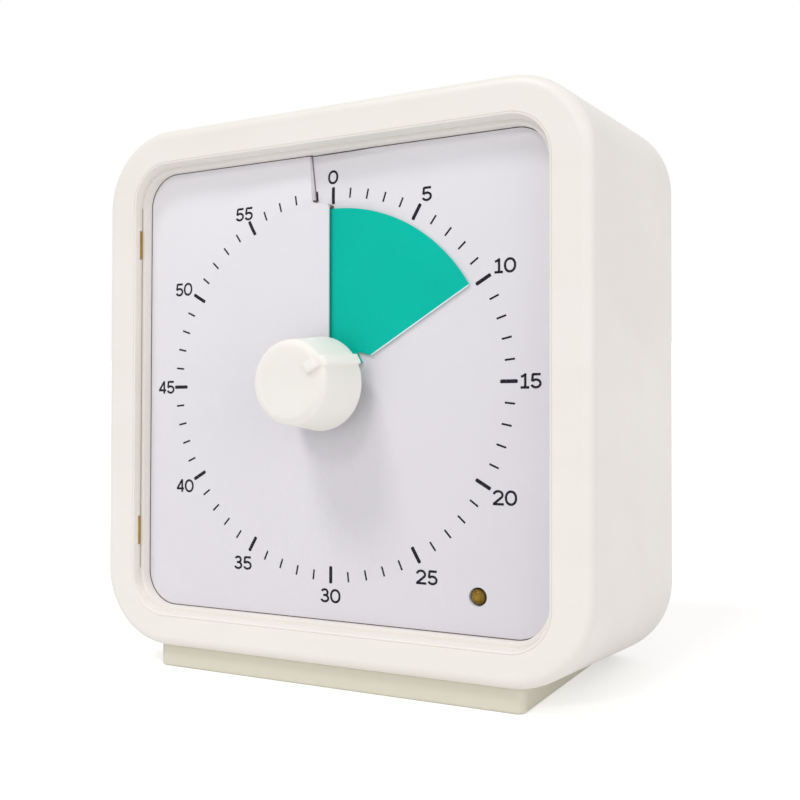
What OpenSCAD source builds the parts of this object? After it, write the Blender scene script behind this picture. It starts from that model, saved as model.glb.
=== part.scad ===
// Visual countdown timer: a square case with a recessed dial, a coloured disc
// that comes out through a slit in the dial card, a setting knob and a wedge foot.
//
// Every sub-part is modelled with the timer lying on its back: X to the right,
// Y up the dial and Z out of the dial, with Z = 0 on the front of the dial card
// and the spindle on the Z axis. stand_up() then sets the whole timer on its foot.

/* [Case] */
// Width of the case
body_w = 166; // [160:1:180]
// Height of the case
body_h = 166; // [160:1:180]
// Depth of the case from the front face to the back face
body_depth = 72; // [70:1:90]
// Radius of the case corners as seen from the front
corner_r = 24; // [20:1:28]
// Width of the front frame around the window
frame_w = 11.9; // [11:0.1:13]
// Rounding of the front edge
front_round = 3.2; // [1.5:0.1:3.3]
// Rounding of the back edge
back_round = 2.4; // [1:0.1:4]
// Wall thickness of the case
wall = 2.5; // [2:0.1:3]
// Depth of the front bezel at the sides, from the front face to the seam
bezel_depth = 3.4; // [3.4:0.1:6]
// Thickness of the bezel's front plate
bezel_t = 2.4; // [2:0.1:3]
// Length of the bezel's lip inside the rear shell
spigot_l = 3; // [2:0.5:5]
// Thickness of the bezel's lip
spigot_t = 1.6; // [1.2:0.1:2]
// Length of the corner bosses behind the dial card
case_boss_l = 10; // [8:0.5:16]
// Radius of the corner bosses on the bezel
case_boss_r = 3.5; // [3:0.1:3.6]
// Angle that the case leans back on its foot
lean = 5.4; // [3:0.1:5.6]

/* [Window] */
// Corner radius of the window
window_corner_r = 18.5; // [16:0.5:20]
// Depth from the front face to the front of the lens
lens_set_back = 1.8; // [1:0.1:2.5]
// Thickness of the lens
lens_t = 1.6; // [1:0.1:2]
// Distance between the back of the lens and the dial card
lens_to_card = 3.4; // [3.4:0.1:6]
// Width of the ledge that the lens sits on
ledge_w = 1.3; // [1:0.1:2]
// Thickness of the wall around the window
window_wall = 1.4; // [1.2:0.1:1.6]
// Length of each lens tab
tab_l = 8.6; // [6:0.2:14]
// Reach of each lens tab into its slot
tab_reach = 1.2; // [0.8:0.1:1.4]
// Height of the lens tabs above and below the dial centre
tab_y = 46.8; // [30:0.2:50]
// Radius of the hole in the lens for the spindle
lens_hole_r = 4.6; // [4:0.1:6]

/* [Dial] */
// Thickness of the dial card
card_t = 0.5; // [0.4:0.05:0.6]
// How far the card reaches under the ledge
card_overlap = 2.2; // [1.6:0.1:2.4]
// Radius of the hole in the middle of the card
card_hole_r = 8; // [7:0.5:10]
// Rise of the card's lip on the left of the slit
lip_rise = 1.5; // [1.1:0.1:1.6]
// Drop of the card on the right of the slit
lip_drop = 1.1; // [0.6:0.1:1.4]
// Sideways step of the slit beyond the disc
slit_step = 6; // [3:0.5:7]
// Further sideways run of the slit up to the card's edge
slit_drift = 1.8; // [0:0.1:2]
// Flat border of the card outside its lifted and lowered parts
lip_border = 2.6; // [2.4:0.1:6]
// Thickness of the dial plate
plate_t = 2; // [1.6:0.1:2.4]
// Height of the four dial plate screws from the dial centre
plate_ear_y = 33; // [25:1:40]

/* [Coloured disc] */
// Radius of the coloured disc
disc_r = 52.8; // [45:0.2:53.6]
// Thickness of the coloured disc
disc_t = 0.25; // [0.2:0.01:0.3]
// Rise of the disc in one turn
disc_pitch = 3; // [2.9:0.05:3]
// Height of the disc above the card as it leaves the slit
disc_lift = 0.05; // [0.02:0.01:0.1]
// Part of a full turn that the disc covers
disc_span = 356; // [350:1:357]
// Angle that the disc shows, clockwise from the slit
set_angle = 59; // [1:1:120]
// Radius of the disc hub
hub_r = 6; // [5.5:0.1:6.5]

/* [Knob] */
// Diameter of the knob at its base
knob_base_d = 28; // [24:0.2:32]
// Diameter of the knob at its front
knob_tip_d = 24; // [20:0.2:28]
// Length of the knob
knob_l = 18.2; // [12:0.1:20]
// Gap between the knob and the lens
knob_gap = 1; // [0.6:0.1:2]
// Rounding of the knob's front edge
knob_round = 2.2; // [1:0.1:3]
// Wall thickness of the knob
knob_wall = 2; // [1.6:0.1:2.4]
// Width of the pointer ridge
pointer_w = 3.2; // [2:0.1:4]
// Height of the pointer ridge
pointer_h = 1.1; // [0.6:0.1:1.6]
// Angle by which the pointer ridge runs ahead of the disc's edge
pointer_lead = 2; // [0:0.5:4]
// Diameter of the spindle
spindle_d = 6; // [5:0.1:6.4]

/* [Movement] */
// Side of the square movement housing
movement_side = 54; // [54:0.5:60]
// Inner depth of the movement housing
movement_room = 15.5; // [15:0.5:20]
// Wall thickness of the movement housing
movement_wall = 1.5; // [1.2:0.1:2]
// Radius of the pivots of the wheels
pivot_r = 0.6; // [0.5:0.05:0.65]
// Teeth of the centre wheel
centre_teeth = 64;
// Teeth of the third wheel
third_teeth = 50;
// Teeth of the second wheel and of the first wheel
fast_teeth = 60;
// Teeth of the two slow pinions
slow_pinion_teeth = 8;
// Teeth of the two fast pinions
fast_pinion_teeth = 10;
// Tooth module of the centre wheel
centre_module = 0.4; // [0.38:0.01:0.42]
// Tooth module of the third wheel
third_module = 0.35; // [0.34:0.01:0.36]
// Tooth module of the second and first wheels
fast_module = 0.3; // [0.29:0.01:0.31]
// Radius of the rotor magnet
magnet_r = 3; // [2.4:0.1:3.4]

/* [Battery bay] */
// Diameter of one battery cell
cell_d = 14.5; // [14:0.1:14.6]
// Length of one battery cell with its nub
cell_l = 50.5; // [49:0.1:51]
// Length of a battery spring as fitted
spring_l = 5; // [4:0.1:6]
// Thickness of the contact plates
contact_t = 0.5; // [0.3:0.1:0.8]
// Height of the middle of the bay below the dial centre
bay_drop = 44; // [40:1:46]
// Thickness of the walls of the bay
bay_wall = 1.6; // [1.2:0.1:2]
// Thickness of the outer plate of the battery door
door_t = 1.2; // [1:0.1:1.4]

/* [Board and sound] */
// Width of the main board
board_w = 56; // [50:1:58]
// Height of the main board
board_h = 32; // [28:1:36]
// Thickness of the circuit boards
board_t = 1.6; // [1:0.1:2]
// Distance of the main board from the back wall
board_stand = 7.5; // [7:0.1:10]
// Travel of the sound switch
switch_travel = 5; // [3:0.5:6]
// Radius of the buzzer
buzzer_r = 12; // [9:0.5:14]
// Thickness of the buzzer
buzzer_t = 5.5; // [4:0.5:7]
// Diameter of the lamp
led_d = 5; // [3:0.5:5]

/* [Foot] */
// Width of the foot
foot_w = 125; // [100:0.2:130]
// Length of the foot from front to back
foot_l = 63; // [50:1:66]
// Height of the foot at its front
foot_front_h = 7; // [6.9:0.1:10]
// Radius of the foot's corners as seen from below
foot_corner_r = 2.5; // [2:0.5:10]
// Radius of the plugs that hold the foot
foot_plug_r = 3; // [2:0.1:4]

/* [Clearances] */
// Radial clearance of a running fit
running = 0.05; // [0.03:0.01:0.08]
// Gap around a piece that drops into a recess
fit_gap = 0.2; // [0.15:0.05:0.3]
// Free space between pieces that pass each other
pass_gap = 0.3; // [0.2:0.05:0.5]

/* [Hidden] */
$fn = 64;

shell_colour = "#f0ede6";
plate_colour = "#e6e6e4";
card_colour = "#e8e6ec";
disc_colour = "#00b8a2";
steel_colour = "#c4c6c8";
brass_colour = "#d2b060";
board_colour = "#2f6b3d";
black_colour = "#303234";
small_fn = 24;
tiny = 0.01;

// Levels along Z, from the front to the back
front_z = lens_set_back + lens_t + lens_to_card;
lens_z = lens_to_card;
seam_z = front_z - bezel_depth;
bezel_back_z = front_z - bezel_t;
card_back_z = -card_t;
disc_floor_z = disc_lift - disc_pitch - disc_t / 2 - pass_gap;
plate_back_z = disc_floor_z - plate_t;
movement_front_z = plate_back_z - movement_wall;
movement_back_z = movement_front_z - movement_room;
back_z = front_z - body_depth;
back_wall_z = back_z + wall;

// Window, card and plate
window_w = body_w - 2 * frame_w;
window_h = body_h - 2 * frame_w;
card_w = window_w - 2 * ledge_w + 2 * card_overlap;
card_h = window_h - 2 * ledge_w + 2 * card_overlap;
card_corner_r = window_corner_r - ledge_w;
slit_half_angle = 0.2;
lip_from = 250;
drop_to = 36;
flat_r = disc_r + 1.7;
step_r = flat_r + 0.6;
lip_end_r = min(card_w, card_h) / 2 - lip_border;
plate_recess_r = disc_r + 2.3;
plate_cup_r = plate_recess_r + plate_t;
plate_pocket_r = lip_end_r + 1;
pocket_z = -lip_drop - card_t - pass_gap;
sheet_back_z = card_back_z - plate_t;
bush_r = 5;
bush_top_gap = 0.1;

// Screws: shank radius, head radius and head height
small_screw_r = 1.3;
small_head_r = 2.4;
small_head_h = 1.6;
case_screw_r = 1.5;
case_head_r = 2.8;
case_head_h = 2.2;
case_screw_web = 5;
case_screw_l = case_screw_web + case_boss_l + 1;
screw_slack = 0.2;

// Corner bosses stand on the diagonal, just inside the bezel's lip
spigot_in = wall + fit_gap + spigot_t;
case_boss_off = (corner_r - spigot_in - case_boss_r - pass_gap) / sqrt(2);
case_boss_x = body_w / 2 - corner_r + case_boss_off;
case_boss_y = body_h / 2 - corner_r + case_boss_off;
case_post_r = 4;
case_boss_end_z = -case_boss_l;
case_screw_seat_z = case_boss_end_z - case_screw_web;
case_screw_tip_z = case_screw_seat_z + case_screw_l;
post_rib_t = 1.2;
post_rib_l = corner_r - wall / 2 - sqrt(2) * case_boss_off;

// Dial plate bosses stand beside the card
ear_boss_r = 3;
ear_x = card_w / 2 + pass_gap + ear_boss_r;
ear_screw_l = plate_t + card_t + bezel_back_z;

// Lamp in the lower right corner of the dial
led_r = led_d / 2;
led_x = window_w / 2 - ledge_w - 22.1;
led_y = -(window_h / 2 - ledge_w - 10.1);
led_proud = 0.9;
led_flange_r = led_r + 0.4;
led_flange_t = 1;
led_board_w = 12;
led_board_h = 11;
led_board_z = plate_back_z - led_flange_t - 0.6;
led_screw_y = led_y + 7.5;
led_screw_r = 0.9;
led_screw_l = 3.5;
led_head_r = 1.8;
led_post_r = 2.2;
led_leg_r = 0.25;
lead_pitch = 2.54;

// Spindle
spindle_r = spindle_d / 2;
spindle_flat = spindle_r - 0.5;
spindle_flange_r = spindle_r + 2;
spindle_tail_r = 1.5;
knob_back_z = lens_z + lens_t + knob_gap;
knob_front_z = knob_back_z + knob_l;
spindle_tip_z = knob_front_z - 3;
flat_end_z = disc_floor_z + bush_top_gap;
hub_top = disc_t / 2 + 0.05;
hub_len = disc_pitch * disc_span / 360 + 2 * hub_top;
hub_top_z = disc_lift + disc_pitch * set_angle / 360 + hub_top;

// Wheels of the movement, from the slow end to the fast end
clip_t = 0.3;
clip_z = movement_front_z - 0.1 - clip_t;
clip_groove_r = spindle_r - 0.5;
clutch_h = 0.6;
centre_t = 1.5;
centre_top_z = movement_front_z - 0.1 - clip_t - clutch_h;
centre_bottom_z = centre_top_z - centre_t;
wheel_t = 1;
third_z = centre_bottom_z - 1.6 - wheel_t;
second_z = third_z - 1.5 - wheel_t;
first_z = second_z - 1.5 - wheel_t;
tooth_over = 0.8;
tooth_under = 1;
tip_share = 0.4;
root_share = 0.95;
arbor_r = 0.7;
centre_distance = centre_module * (centre_teeth + slow_pinion_teeth) / 2;
third_distance = third_module * (third_teeth + slow_pinion_teeth) / 2;
fast_distance = fast_module * (fast_teeth + fast_pinion_teeth) / 2;
third_angle = 40;
second_angle = 150;
first_angle = 180;
rotor_angle = 215;
third_at = centre_distance * [cos(third_angle), sin(third_angle)];
second_at = third_at + third_distance * [cos(second_angle), sin(second_angle)];
first_at = second_at + fast_distance * [cos(first_angle), sin(first_angle)];
rotor_at = first_at + fast_distance * [cos(rotor_angle), sin(rotor_angle)];
magnet_z = first_z + wheel_t + 1.7;
magnet_t = 3.6;
stator_z = magnet_z + 1.2;
stator_t = 1;
stator_gap = 0.4;
stator_rim = 1.9;
coil_x = rotor_at[0] + 7.9;
coil_top_y = rotor_at[1] - 10.3;
coil_len = 16;
coil_r = 3.2;
core_t = 1.2;
core_w = 2.4;
cover_boss_r = 3;
cover_boss_x = movement_side / 2 + cover_boss_r + 1;
cover_boss_y = 18;
cover_ear_t = 2;
cover_ear_z = plate_back_z - 6.5;
lead_hole_r = 2.4;
lead_gap = 1;
lead_hole_at = [coil_x, coil_top_y - coil_len - 4];

// Battery bay
cell_r = cell_d / 2;
bay_gap = 0.3;
bay_l = cell_l + spring_l + 2 * contact_t;
bay_h = 2 * cell_d + 3 * bay_gap;
door_plug_t = 0.8;
door_seat = 2.2;
bay_mouth_z = back_z + door_t + door_plug_t;
cell_z = bay_mouth_z + bay_gap + cell_r;
bay_floor_z = cell_z + cell_r + bay_gap;
cell_y = cell_r + bay_gap / 2;
nub_r = 2.75;
nub_l = 1.3;
contact_w = 11;
tab_w = 4;
tab_top_z = bay_floor_z + bay_wall + 2.6;
spring_wire_r = 0.35;
door_lobe_r = 4.6;
door_screw_y = -bay_drop + bay_h / 2 + bay_wall + 3;
door_boss_r = 3.4;
door_screw_l = 8;
door_head_h = 0.9;

// Main board, switch and buzzer
board_x = board_w / 2;
board_y = 36;
board_back_z = back_wall_z + board_stand;
board_hole_in = 4;
board_corner_r = 1.5;
chip_w = 14;
chip_h = 9;
chip_t = 1.8;
big_cap_r = 3.2;
big_cap_l = 9;
small_cap_r = 2.5;
small_cap_l = 7;
stand_r = 2.75;
switch_x = board_x;
switch_y = board_y;
switch_w = 14;
switch_h = 7;
switch_body_t = 5;
slider_w = 4.4;
slider_h = 3;
slider_stem_w = 3;
slider_stem_h = 2;
slider_stem_l = 1.5;
slider_sink = 0.2;
dish_depth = 1;
buzzer_x = -38;
buzzer_y = 36;
buzzer_ring_t = 1.4;
buzzer_ring_l = 4.5;
grille_hole_r = 1.1;
grille_ring_r = 5;
buzzer_port_r = 2;

// Foot: the underside lies on the floor
foot_front_z = seam_z;
foot_rear_z = foot_front_z - foot_l * cos(lean);
foot_bottom_y = -body_h / 2 - foot_front_h;
foot_mid = [
    0,
    foot_bottom_y + foot_l / 2 * sin(lean),
    foot_front_z - foot_l / 2 * cos(lean)
];
foot_plug_x = foot_w / 2 - 17.2;
foot_plug_front_z = foot_front_z - 14;
foot_plug_rear_z = foot_front_z - foot_l + 14;
foot_head_t = 1.6;
foot_head_over = 1;

// Routes of the leads, from the soldered end to the main board. Each lead leaves
// and arrives square to the face that it is soldered to.
lead_r = 0.6;
lead_turns = 4;
lead_run = 2;
lead_end_y = board_y - board_h / 2 + 4;
lead_end_z = board_back_z + board_t;
backwards = [0, 0, -1];
forwards = [0, 0, 1];
function route(from, leave, middle, to, arrive) = concat(
    [from, from + lead_run * leave, from + 2 * lead_run * leave],
    middle,
    [to + 2 * lead_run * arrive, to + lead_run * arrive, to]
);
function board_pad(x) = [x, lead_end_y, lead_end_z];
battery_lead_x = bay_l / 2 - contact_t / 2;
positive_lead = route(
    [battery_lead_x, cell_y - bay_drop, tab_top_z], forwards,
    [[26, -24, -38], [25, -8, -40], [25, 10, -42]],
    board_pad(25), forwards);
negative_lead = route(
    [battery_lead_x, -cell_y - bay_drop, tab_top_z], forwards,
    [[31, -40, -35], [31, -24, -34], [30.5, -8, -37], [30, 10, -41]],
    board_pad(30), forwards);
led_lead_z = led_board_z - board_t;
led_lead_right = route(
    [led_x + 3.5, led_y + 3, led_lead_z], backwards,
    [[51, -50, -20], [52, -34, -33], [50, -8, -40], [48, 12, -42]],
    board_pad(47), forwards);
led_lead_left = route(
    [led_x - 3.5, led_y + 3, led_lead_z], backwards,
    [[46, -50, -19], [47, -34, -31], [45, -8, -38], [43, 12, -41]],
    board_pad(42), forwards);
coil_lead_y = coil_top_y - coil_len;
coil_lead_z = stator_z - core_t / 2 - 2;
coil_lead_left = route(
    [coil_x - lead_gap, coil_lead_y, coil_lead_z], [0, -0.8, 0],
    [[coil_x - lead_gap, coil_lead_y - 4, movement_back_z + 3],
        [coil_x - lead_gap, coil_lead_y - 4, movement_back_z],
        [coil_x - lead_gap, coil_lead_y - 4, movement_back_z - 3],
        [-9, -14, -34], [0, 4, -40]],
    board_pad(9), forwards);
coil_lead_right = route(
    [coil_x + lead_gap, coil_lead_y, coil_lead_z], [0, -0.8, 0],
    [[coil_x + lead_gap, coil_lead_y - 4, movement_back_z + 3],
        [coil_x + lead_gap, coil_lead_y - 4, movement_back_z],
        [coil_x + lead_gap, coil_lead_y - 4, movement_back_z - 3],
        [-4, -14, -31], [6, 4, -37]],
    board_pad(14), forwards);
buzzer_lead_z = back_wall_z + buzzer_t;
buzzer_lead_upper = route(
    [buzzer_x + 5, buzzer_y + 2, buzzer_lead_z], forwards,
    [[-20, 39, -48], [-8, 40, -47]],
    [4, 39, lead_end_z], forwards);
buzzer_lead_lower = route(
    [buzzer_x + 5, buzzer_y - 2, buzzer_lead_z], forwards,
    [[-20, 33, -48], [-8, 32, -47]],
    [4, 33, lead_end_z], forwards);

// ---------------------------------------------------------------- helpers

// Stands the timer, modelled lying on its back, on the underside of its foot
module stand_up() {
    rotate([90 - lean, 0, 0]) translate(-foot_mid) children();
}

// Extrudes a flat shape from one level to a higher one
module slab(low_z, high_z) {
    translate([0, 0, low_z]) linear_extrude(high_z - low_z) children();
}

module rod(at, low_z, high_z, r) {
    translate([at[0], at[1], low_z]) cylinder(h = high_z - low_z, r = r);
}

module rounded_rect(w, h, r) {
    square([w - 2 * r, h], center = true);
    square([w, h - 2 * r], center = true);
    for (sx = [-1, 1], sy = [-1, 1])
        translate([sx * (w / 2 - r), sy * (h / 2 - r)]) circle(r);
}

// Section of a slab's rim, with its outer upper edge rounded
module edge_profile(reach, thick, edge) {
    square([reach, thick - edge]);
    square([reach - edge, thick]);
    intersection() {
        square([reach, thick]);
        translate([reach - edge, thick - edge]) circle(edge);
    }
}

// Rounded rectangle with its upper outer edge rounded all the way round
module rounded_slab(w, h, r, thick, edge) {
    for (turn = [0:3]) {
        across = turn % 2 == 0 ? w : h;
        along = turn % 2 == 0 ? h : w;
        rotate(90 * turn) translate([across / 2 - r, along / 2 - r, 0]) {
            rotate_extrude(angle = 90) edge_profile(r, thick, edge);
            rotate([90, 0, 0]) linear_extrude(along - 2 * r) edge_profile(r, thick, edge);
        }
    }
    translate([r - w / 2, r - h / 2, 0]) cube([w - 2 * r, h - 2 * r, thick]);
}

// Places a child at the four mirrored corners (x, y)
module four_corners(x, y) {
    for (sx = [-1, 1], sy = [-1, 1]) translate([sx * x, sy * y, 0]) children();
}

// Screw with its head's seat at head_z, its shank rising towards +Z
module screw_up(head_z, length, shank_r, head_r, head_h) {
    translate([0, 0, head_z]) cylinder(h = length, r = shank_r, $fn = small_fn);
    difference() {
        translate([0, 0, head_z - head_h]) cylinder(h = head_h, r = head_r, $fn = small_fn * 2);
        for (turn = [0, 90])
            rotate(turn)
                translate([-head_r * 0.6, -head_r * 0.12, head_z - head_h - tiny])
                    cube([head_r * 1.2, head_r * 0.24, head_h * 0.5]);
    }
}

// Point on the dial at radius r and clock angle a
function on_dial(r, a) = [r * sin(a), r * cos(a)];

// Closed sheet below a grid of points; rows run clockwise and columns outwards
module sheet(grid, thick) {
    rows = len(grid);
    cols = len(grid[0]);
    low = rows * cols;
    last = cols - 1;
    end = (rows - 1) * cols;
    top = [for (row = grid, p = row) p];
    bottom = [for (p = top) p - [0, 0, thick]];
    faces = [
        for (i = [0:rows - 2], j = [0:cols - 2]) let (p = i * cols + j, q = p + cols)
            each [[p, p + 1, q + 1], [p, q + 1, q],
                  [low + p, low + q + 1, low + p + 1], [low + p, low + q, low + q + 1]],
        for (i = [0:rows - 2]) let (p = i * cols, q = p + cols)
            each [[p, q, low + q], [p, low + q, low + p],
                  [p + last, low + q + last, q + last], [p + last, low + p + last, low + q + last]],
        for (j = [0:cols - 2])
            each [[j + 1, j, low + j], [j + 1, low + j, low + j + 1],
                  [end + j, end + j + 1, low + end + j + 1], [end + j, low + end + j + 1, low + end + j]]
    ];
    polyhedron(points = concat(top, bottom), faces = faces, convexity = 8);
}

function unit(v) = v / norm(v);

// Smooth curve through the points, with extra points between each two
function curve_point(p0, p1, p2, p3, t) =
    0.5 * (2 * p1 + (p2 - p0) * t + (2 * p0 - 5 * p1 + 4 * p2 - p3) * t * t
        + (3 * p1 - p0 - 3 * p2 + p3) * t * t * t);
function smooth_path(points, steps) = let (n = len(points) - 1) [
    for (i = [0:n - 1], s = [0:steps - 1])
        curve_point(points[max(i - 1, 0)], points[i], points[i + 1], points[min(i + 2, n)], s / steps),
    points[n]
];

// Closed tube of eight sides along a path
module tube(path, r) {
    sides = 8;
    n = len(path);
    rings = [
        for (i = [0:n - 1])
            let (
                ahead = unit(path[min(i + 1, n - 1)] - path[max(i - 1, 0)]),
                side = unit(cross(ahead, [0.31, 0.87, 0.38])),
                other = cross(ahead, side)
            )
            for (k = [0:sides - 1]) let (a = 360 * k / sides)
                path[i] + r * (cos(a) * side + sin(a) * other)
    ];
    faces = [
        [for (k = [0:sides - 1]) k],
        for (i = [0:n - 2], k = [0:sides - 1])
            let (p = i * sides + k, q = i * sides + (k + 1) % sides)
            each [[p, p + sides, q + sides], [p, q + sides, q]],
        [for (k = [0:sides - 1]) n * sides - 1 - k]
    ];
    polyhedron(points = rings, faces = faces, convexity = 10);
}

// Outline of a wheel or pinion with a tooth on the +X axis
module toothed(teeth, size) {
    pitch_r = size * teeth / 2;
    tip = tip_share * 90 / teeth;
    root = root_share * 90 / teeth;
    polygon([
        for (i = [0:teeth - 1]) let (a = 360 * i / teeth)
            each [
                (pitch_r - tooth_under * size) * [cos(a - root), sin(a - root)],
                (pitch_r + tooth_over * size) * [cos(a - tip), sin(a - tip)],
                (pitch_r + tooth_over * size) * [cos(a + tip), sin(a + tip)],
                (pitch_r - tooth_under * size) * [cos(a + root), sin(a + root)]
            ]
    ]);
}

// Arbor with its two pivots, running in the base and in the cover
module arbor() {
    shoulder = 0.1;
    slab(movement_back_z + shoulder, movement_front_z - shoulder) circle(arbor_r, $fn = small_fn);
    slab(movement_back_z - movement_wall * 0.6, movement_front_z + movement_wall * 0.6)
        circle(pivot_r, $fn = small_fn);
}

// ---------------------------------------------------------------- case

module rear_shell() {
    color(shell_colour) difference() {
        union() {
            difference() {
                translate([0, 0, seam_z]) mirror([0, 0, 1])
                    rounded_slab(body_w, body_h, corner_r, seam_z - back_z, back_round);
                slab(back_wall_z, seam_z + 1) case_cavity();
            }
            slab(back_wall_z - tiny, case_boss_end_z) {
                four_corners(case_boss_x, case_boss_y) circle(case_post_r);
                for (sx = [-1, 1], sy = [-1, 1]) translate([sx * case_boss_x, sy * case_boss_y])
                    rotate(atan2(sy, sx)) translate([0, -post_rib_t / 2])
                        square([post_rib_l, post_rib_t]);
            }
            translate([0, -bay_drop, 0]) slab(back_wall_z - tiny, bay_floor_z + bay_wall)
                square([bay_l + 2 * bay_wall, bay_h + 2 * bay_wall], center = true);
            rod([0, door_screw_y], back_wall_z - tiny, back_z + door_t + door_screw_l + 1, door_boss_r);
            board_stands();
            slab(back_wall_z - tiny, back_wall_z + buzzer_ring_l) translate([buzzer_x, buzzer_y])
                difference() {
                    circle(buzzer_r + fit_gap + buzzer_ring_t);
                    circle(buzzer_r + fit_gap);
                }
        }
        case_screw_holes();
        bay_cuts();
        door_recess();
        slab(back_z, back_z + door_t + door_screw_l + 0.5) translate([0, door_screw_y])
            circle(small_screw_r + running, $fn = small_fn);
        switch_cuts();
        grille();
        foot_plug_holes();
    }
}

module case_cavity() {
    rounded_rect(body_w - 2 * wall, body_h - 2 * wall, corner_r - wall);
}

// Each post is bored from the back for the screw's head, and through for its shank
module case_screw_holes() {
    four_corners(case_boss_x, case_boss_y) {
        slab(back_z - 1, case_screw_seat_z) circle(case_head_r + 2 * screw_slack);
        slab(back_z, case_boss_end_z + 1) circle(case_screw_r + screw_slack);
    }
}

module bay_cuts() {
    translate([0, -bay_drop, 0]) {
        slab(back_z - 1, bay_floor_z) square([bay_l, bay_h], center = true);
        for (sy = [-1, 1])
            slab(bay_floor_z - 1, bay_floor_z + bay_wall + 1)
                translate([bay_l / 2 - contact_t - fit_gap, sy * cell_y - tab_w / 2 - fit_gap])
                    square([contact_t + 2 * fit_gap, tab_w + 2 * fit_gap]);
    }
}

module door_outline(grow) {
    translate([0, -bay_drop])
        rounded_rect(bay_l + 2 * door_seat + 2 * grow, bay_h + 2 * door_seat + 2 * grow, door_seat);
    translate([0, door_screw_y]) circle(door_lobe_r + grow);
    translate([-door_lobe_r - grow, -bay_drop])
        square([2 * (door_lobe_r + grow), door_screw_y + bay_drop]);
}

module door_recess() {
    slab(back_z - 1, back_z + door_t) door_outline(0);
}

module board_stands() {
    translate([board_x, board_y, 0])
        four_corners(board_w / 2 - board_hole_in, board_h / 2 - board_hole_in)
        slab(back_wall_z - tiny, board_back_z) difference() {
            circle(stand_r);
            circle(small_screw_r, $fn = small_fn);
        }
}

module switch_cuts() {
    slab(back_z - 1, back_wall_z + 1) translate([switch_x, switch_y])
        square([slider_w + switch_travel + 4 * fit_gap, slider_h + 4 * fit_gap], center = true);
    slab(back_z - 1, back_z + dish_depth) translate([switch_x, switch_y])
        rounded_rect(slider_w + switch_travel + 8, slider_h + 6, 4);
}

module grille() {
    translate([buzzer_x, buzzer_y, 0]) {
        rod([0, 0], back_z - 1, back_wall_z + 1, grille_hole_r);
        for (turn = [0:60:300]) rotate(turn)
            rod([grille_ring_r, 0], back_z - 1, back_wall_z + 1, grille_hole_r);
    }
}

// Holes in the bottom wall for the plugs of the foot
module foot_plug_holes() {
    for (sx = [-1, 1], z = [foot_plug_front_z, foot_plug_rear_z])
        translate([sx * foot_plug_x, wall - body_h / 2 + 1, z]) rotate([90, 0, 0])
            cylinder(h = wall + 2, r = foot_plug_r);
}

module front_bezel() {
    color(shell_colour) difference() {
        union() {
            difference() {
                translate([0, 0, seam_z])
                    rounded_slab(body_w, body_h, corner_r, bezel_depth, front_round);
                slab(seam_z - 1, bezel_back_z) case_cavity();
            }
            slab(0, bezel_back_z + tiny) window_outline(-window_wall);
            slab(seam_z - spigot_l, bezel_back_z + tiny) difference() {
                spigot_outline(0);
                spigot_outline(spigot_t);
            }
            four_corners(case_boss_x, case_boss_y)
                slab(case_boss_end_z, bezel_back_z + tiny) circle(case_boss_r);
            four_corners(ear_x, plate_ear_y) slab(card_back_z, bezel_back_z + tiny) circle(ear_boss_r);
        }
        slab(lens_z, front_z + 1) window_outline(0);
        slab(-1, lens_z + 1) window_outline(ledge_w);
        four_corners(window_w / 2 + window_wall / 2, tab_y)
            slab(lens_z - 0.1, lens_z + lens_t + 0.1)
                square([window_wall + 2 * fit_gap, tab_l + 2 * fit_gap], center = true);
        four_corners(case_boss_x, case_boss_y)
            slab(case_boss_end_z - 1, case_screw_tip_z + 0.5) circle(case_screw_r, $fn = small_fn);
        four_corners(ear_x, plate_ear_y)
            slab(card_back_z - 1, sheet_back_z + ear_screw_l + 0.3)
                circle(small_screw_r, $fn = small_fn);
    }
}

// Outline of the window, moved inwards
module window_outline(inset) {
    rounded_rect(window_w - 2 * inset, window_h - 2 * inset, window_corner_r - inset);
}

// Outline of the bezel's lip, moved inwards
module spigot_outline(inset) {
    rounded_rect(body_w - 2 * (wall + fit_gap + inset), body_h - 2 * (wall + fit_gap + inset),
        corner_r - wall - fit_gap - inset);
}

module case_screws() {
    color(steel_colour) four_corners(case_boss_x, case_boss_y)
        screw_up(case_screw_seat_z, case_screw_l, case_screw_r, case_head_r, case_head_h);
}

// Soft wedge with four plugs through the bottom wall of the rear shell
module foot() {
    color("#d3cfbd") {
        difference() {
            translate([0, -body_h / 2, (foot_front_z + foot_rear_z) / 2]) rotate([90, 0, 0])
                linear_extrude(foot_front_h)
                    rounded_rect(foot_w, foot_front_z - foot_rear_z, foot_corner_r);
            translate([0, foot_bottom_y, foot_front_z]) rotate([lean, 0, 0])
                translate([-foot_w, -2 * foot_front_h, -2 * foot_l])
                    cube([2 * foot_w, 2 * foot_front_h, 3 * foot_l]);
        }
        for (sx = [-1, 1], z = [foot_plug_front_z, foot_plug_rear_z])
            translate([sx * foot_plug_x, wall - body_h / 2, z]) rotate([90, 0, 0]) {
                cylinder(h = wall + tiny, r = foot_plug_r);
                translate([0, 0, -foot_head_t])
                    cylinder(h = foot_head_t, r1 = foot_plug_r, r2 = foot_plug_r + foot_head_over);
            }
    }
}

// ---------------------------------------------------------------- window and dial

module lens() {
    color("#dfe9ee", 0.3) difference() {
        union() {
            slab(lens_z, lens_z + lens_t) window_outline(fit_gap);
            four_corners(window_w / 2 - fit_gap + tab_reach / 2, tab_y)
                slab(lens_z + 0.2, lens_z + lens_t - 0.2) square([tab_reach + 1, tab_l], center = true);
        }
        rod([0, 0], lens_z - 1, lens_z + lens_t + 1, lens_hole_r);
    }
}

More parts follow.
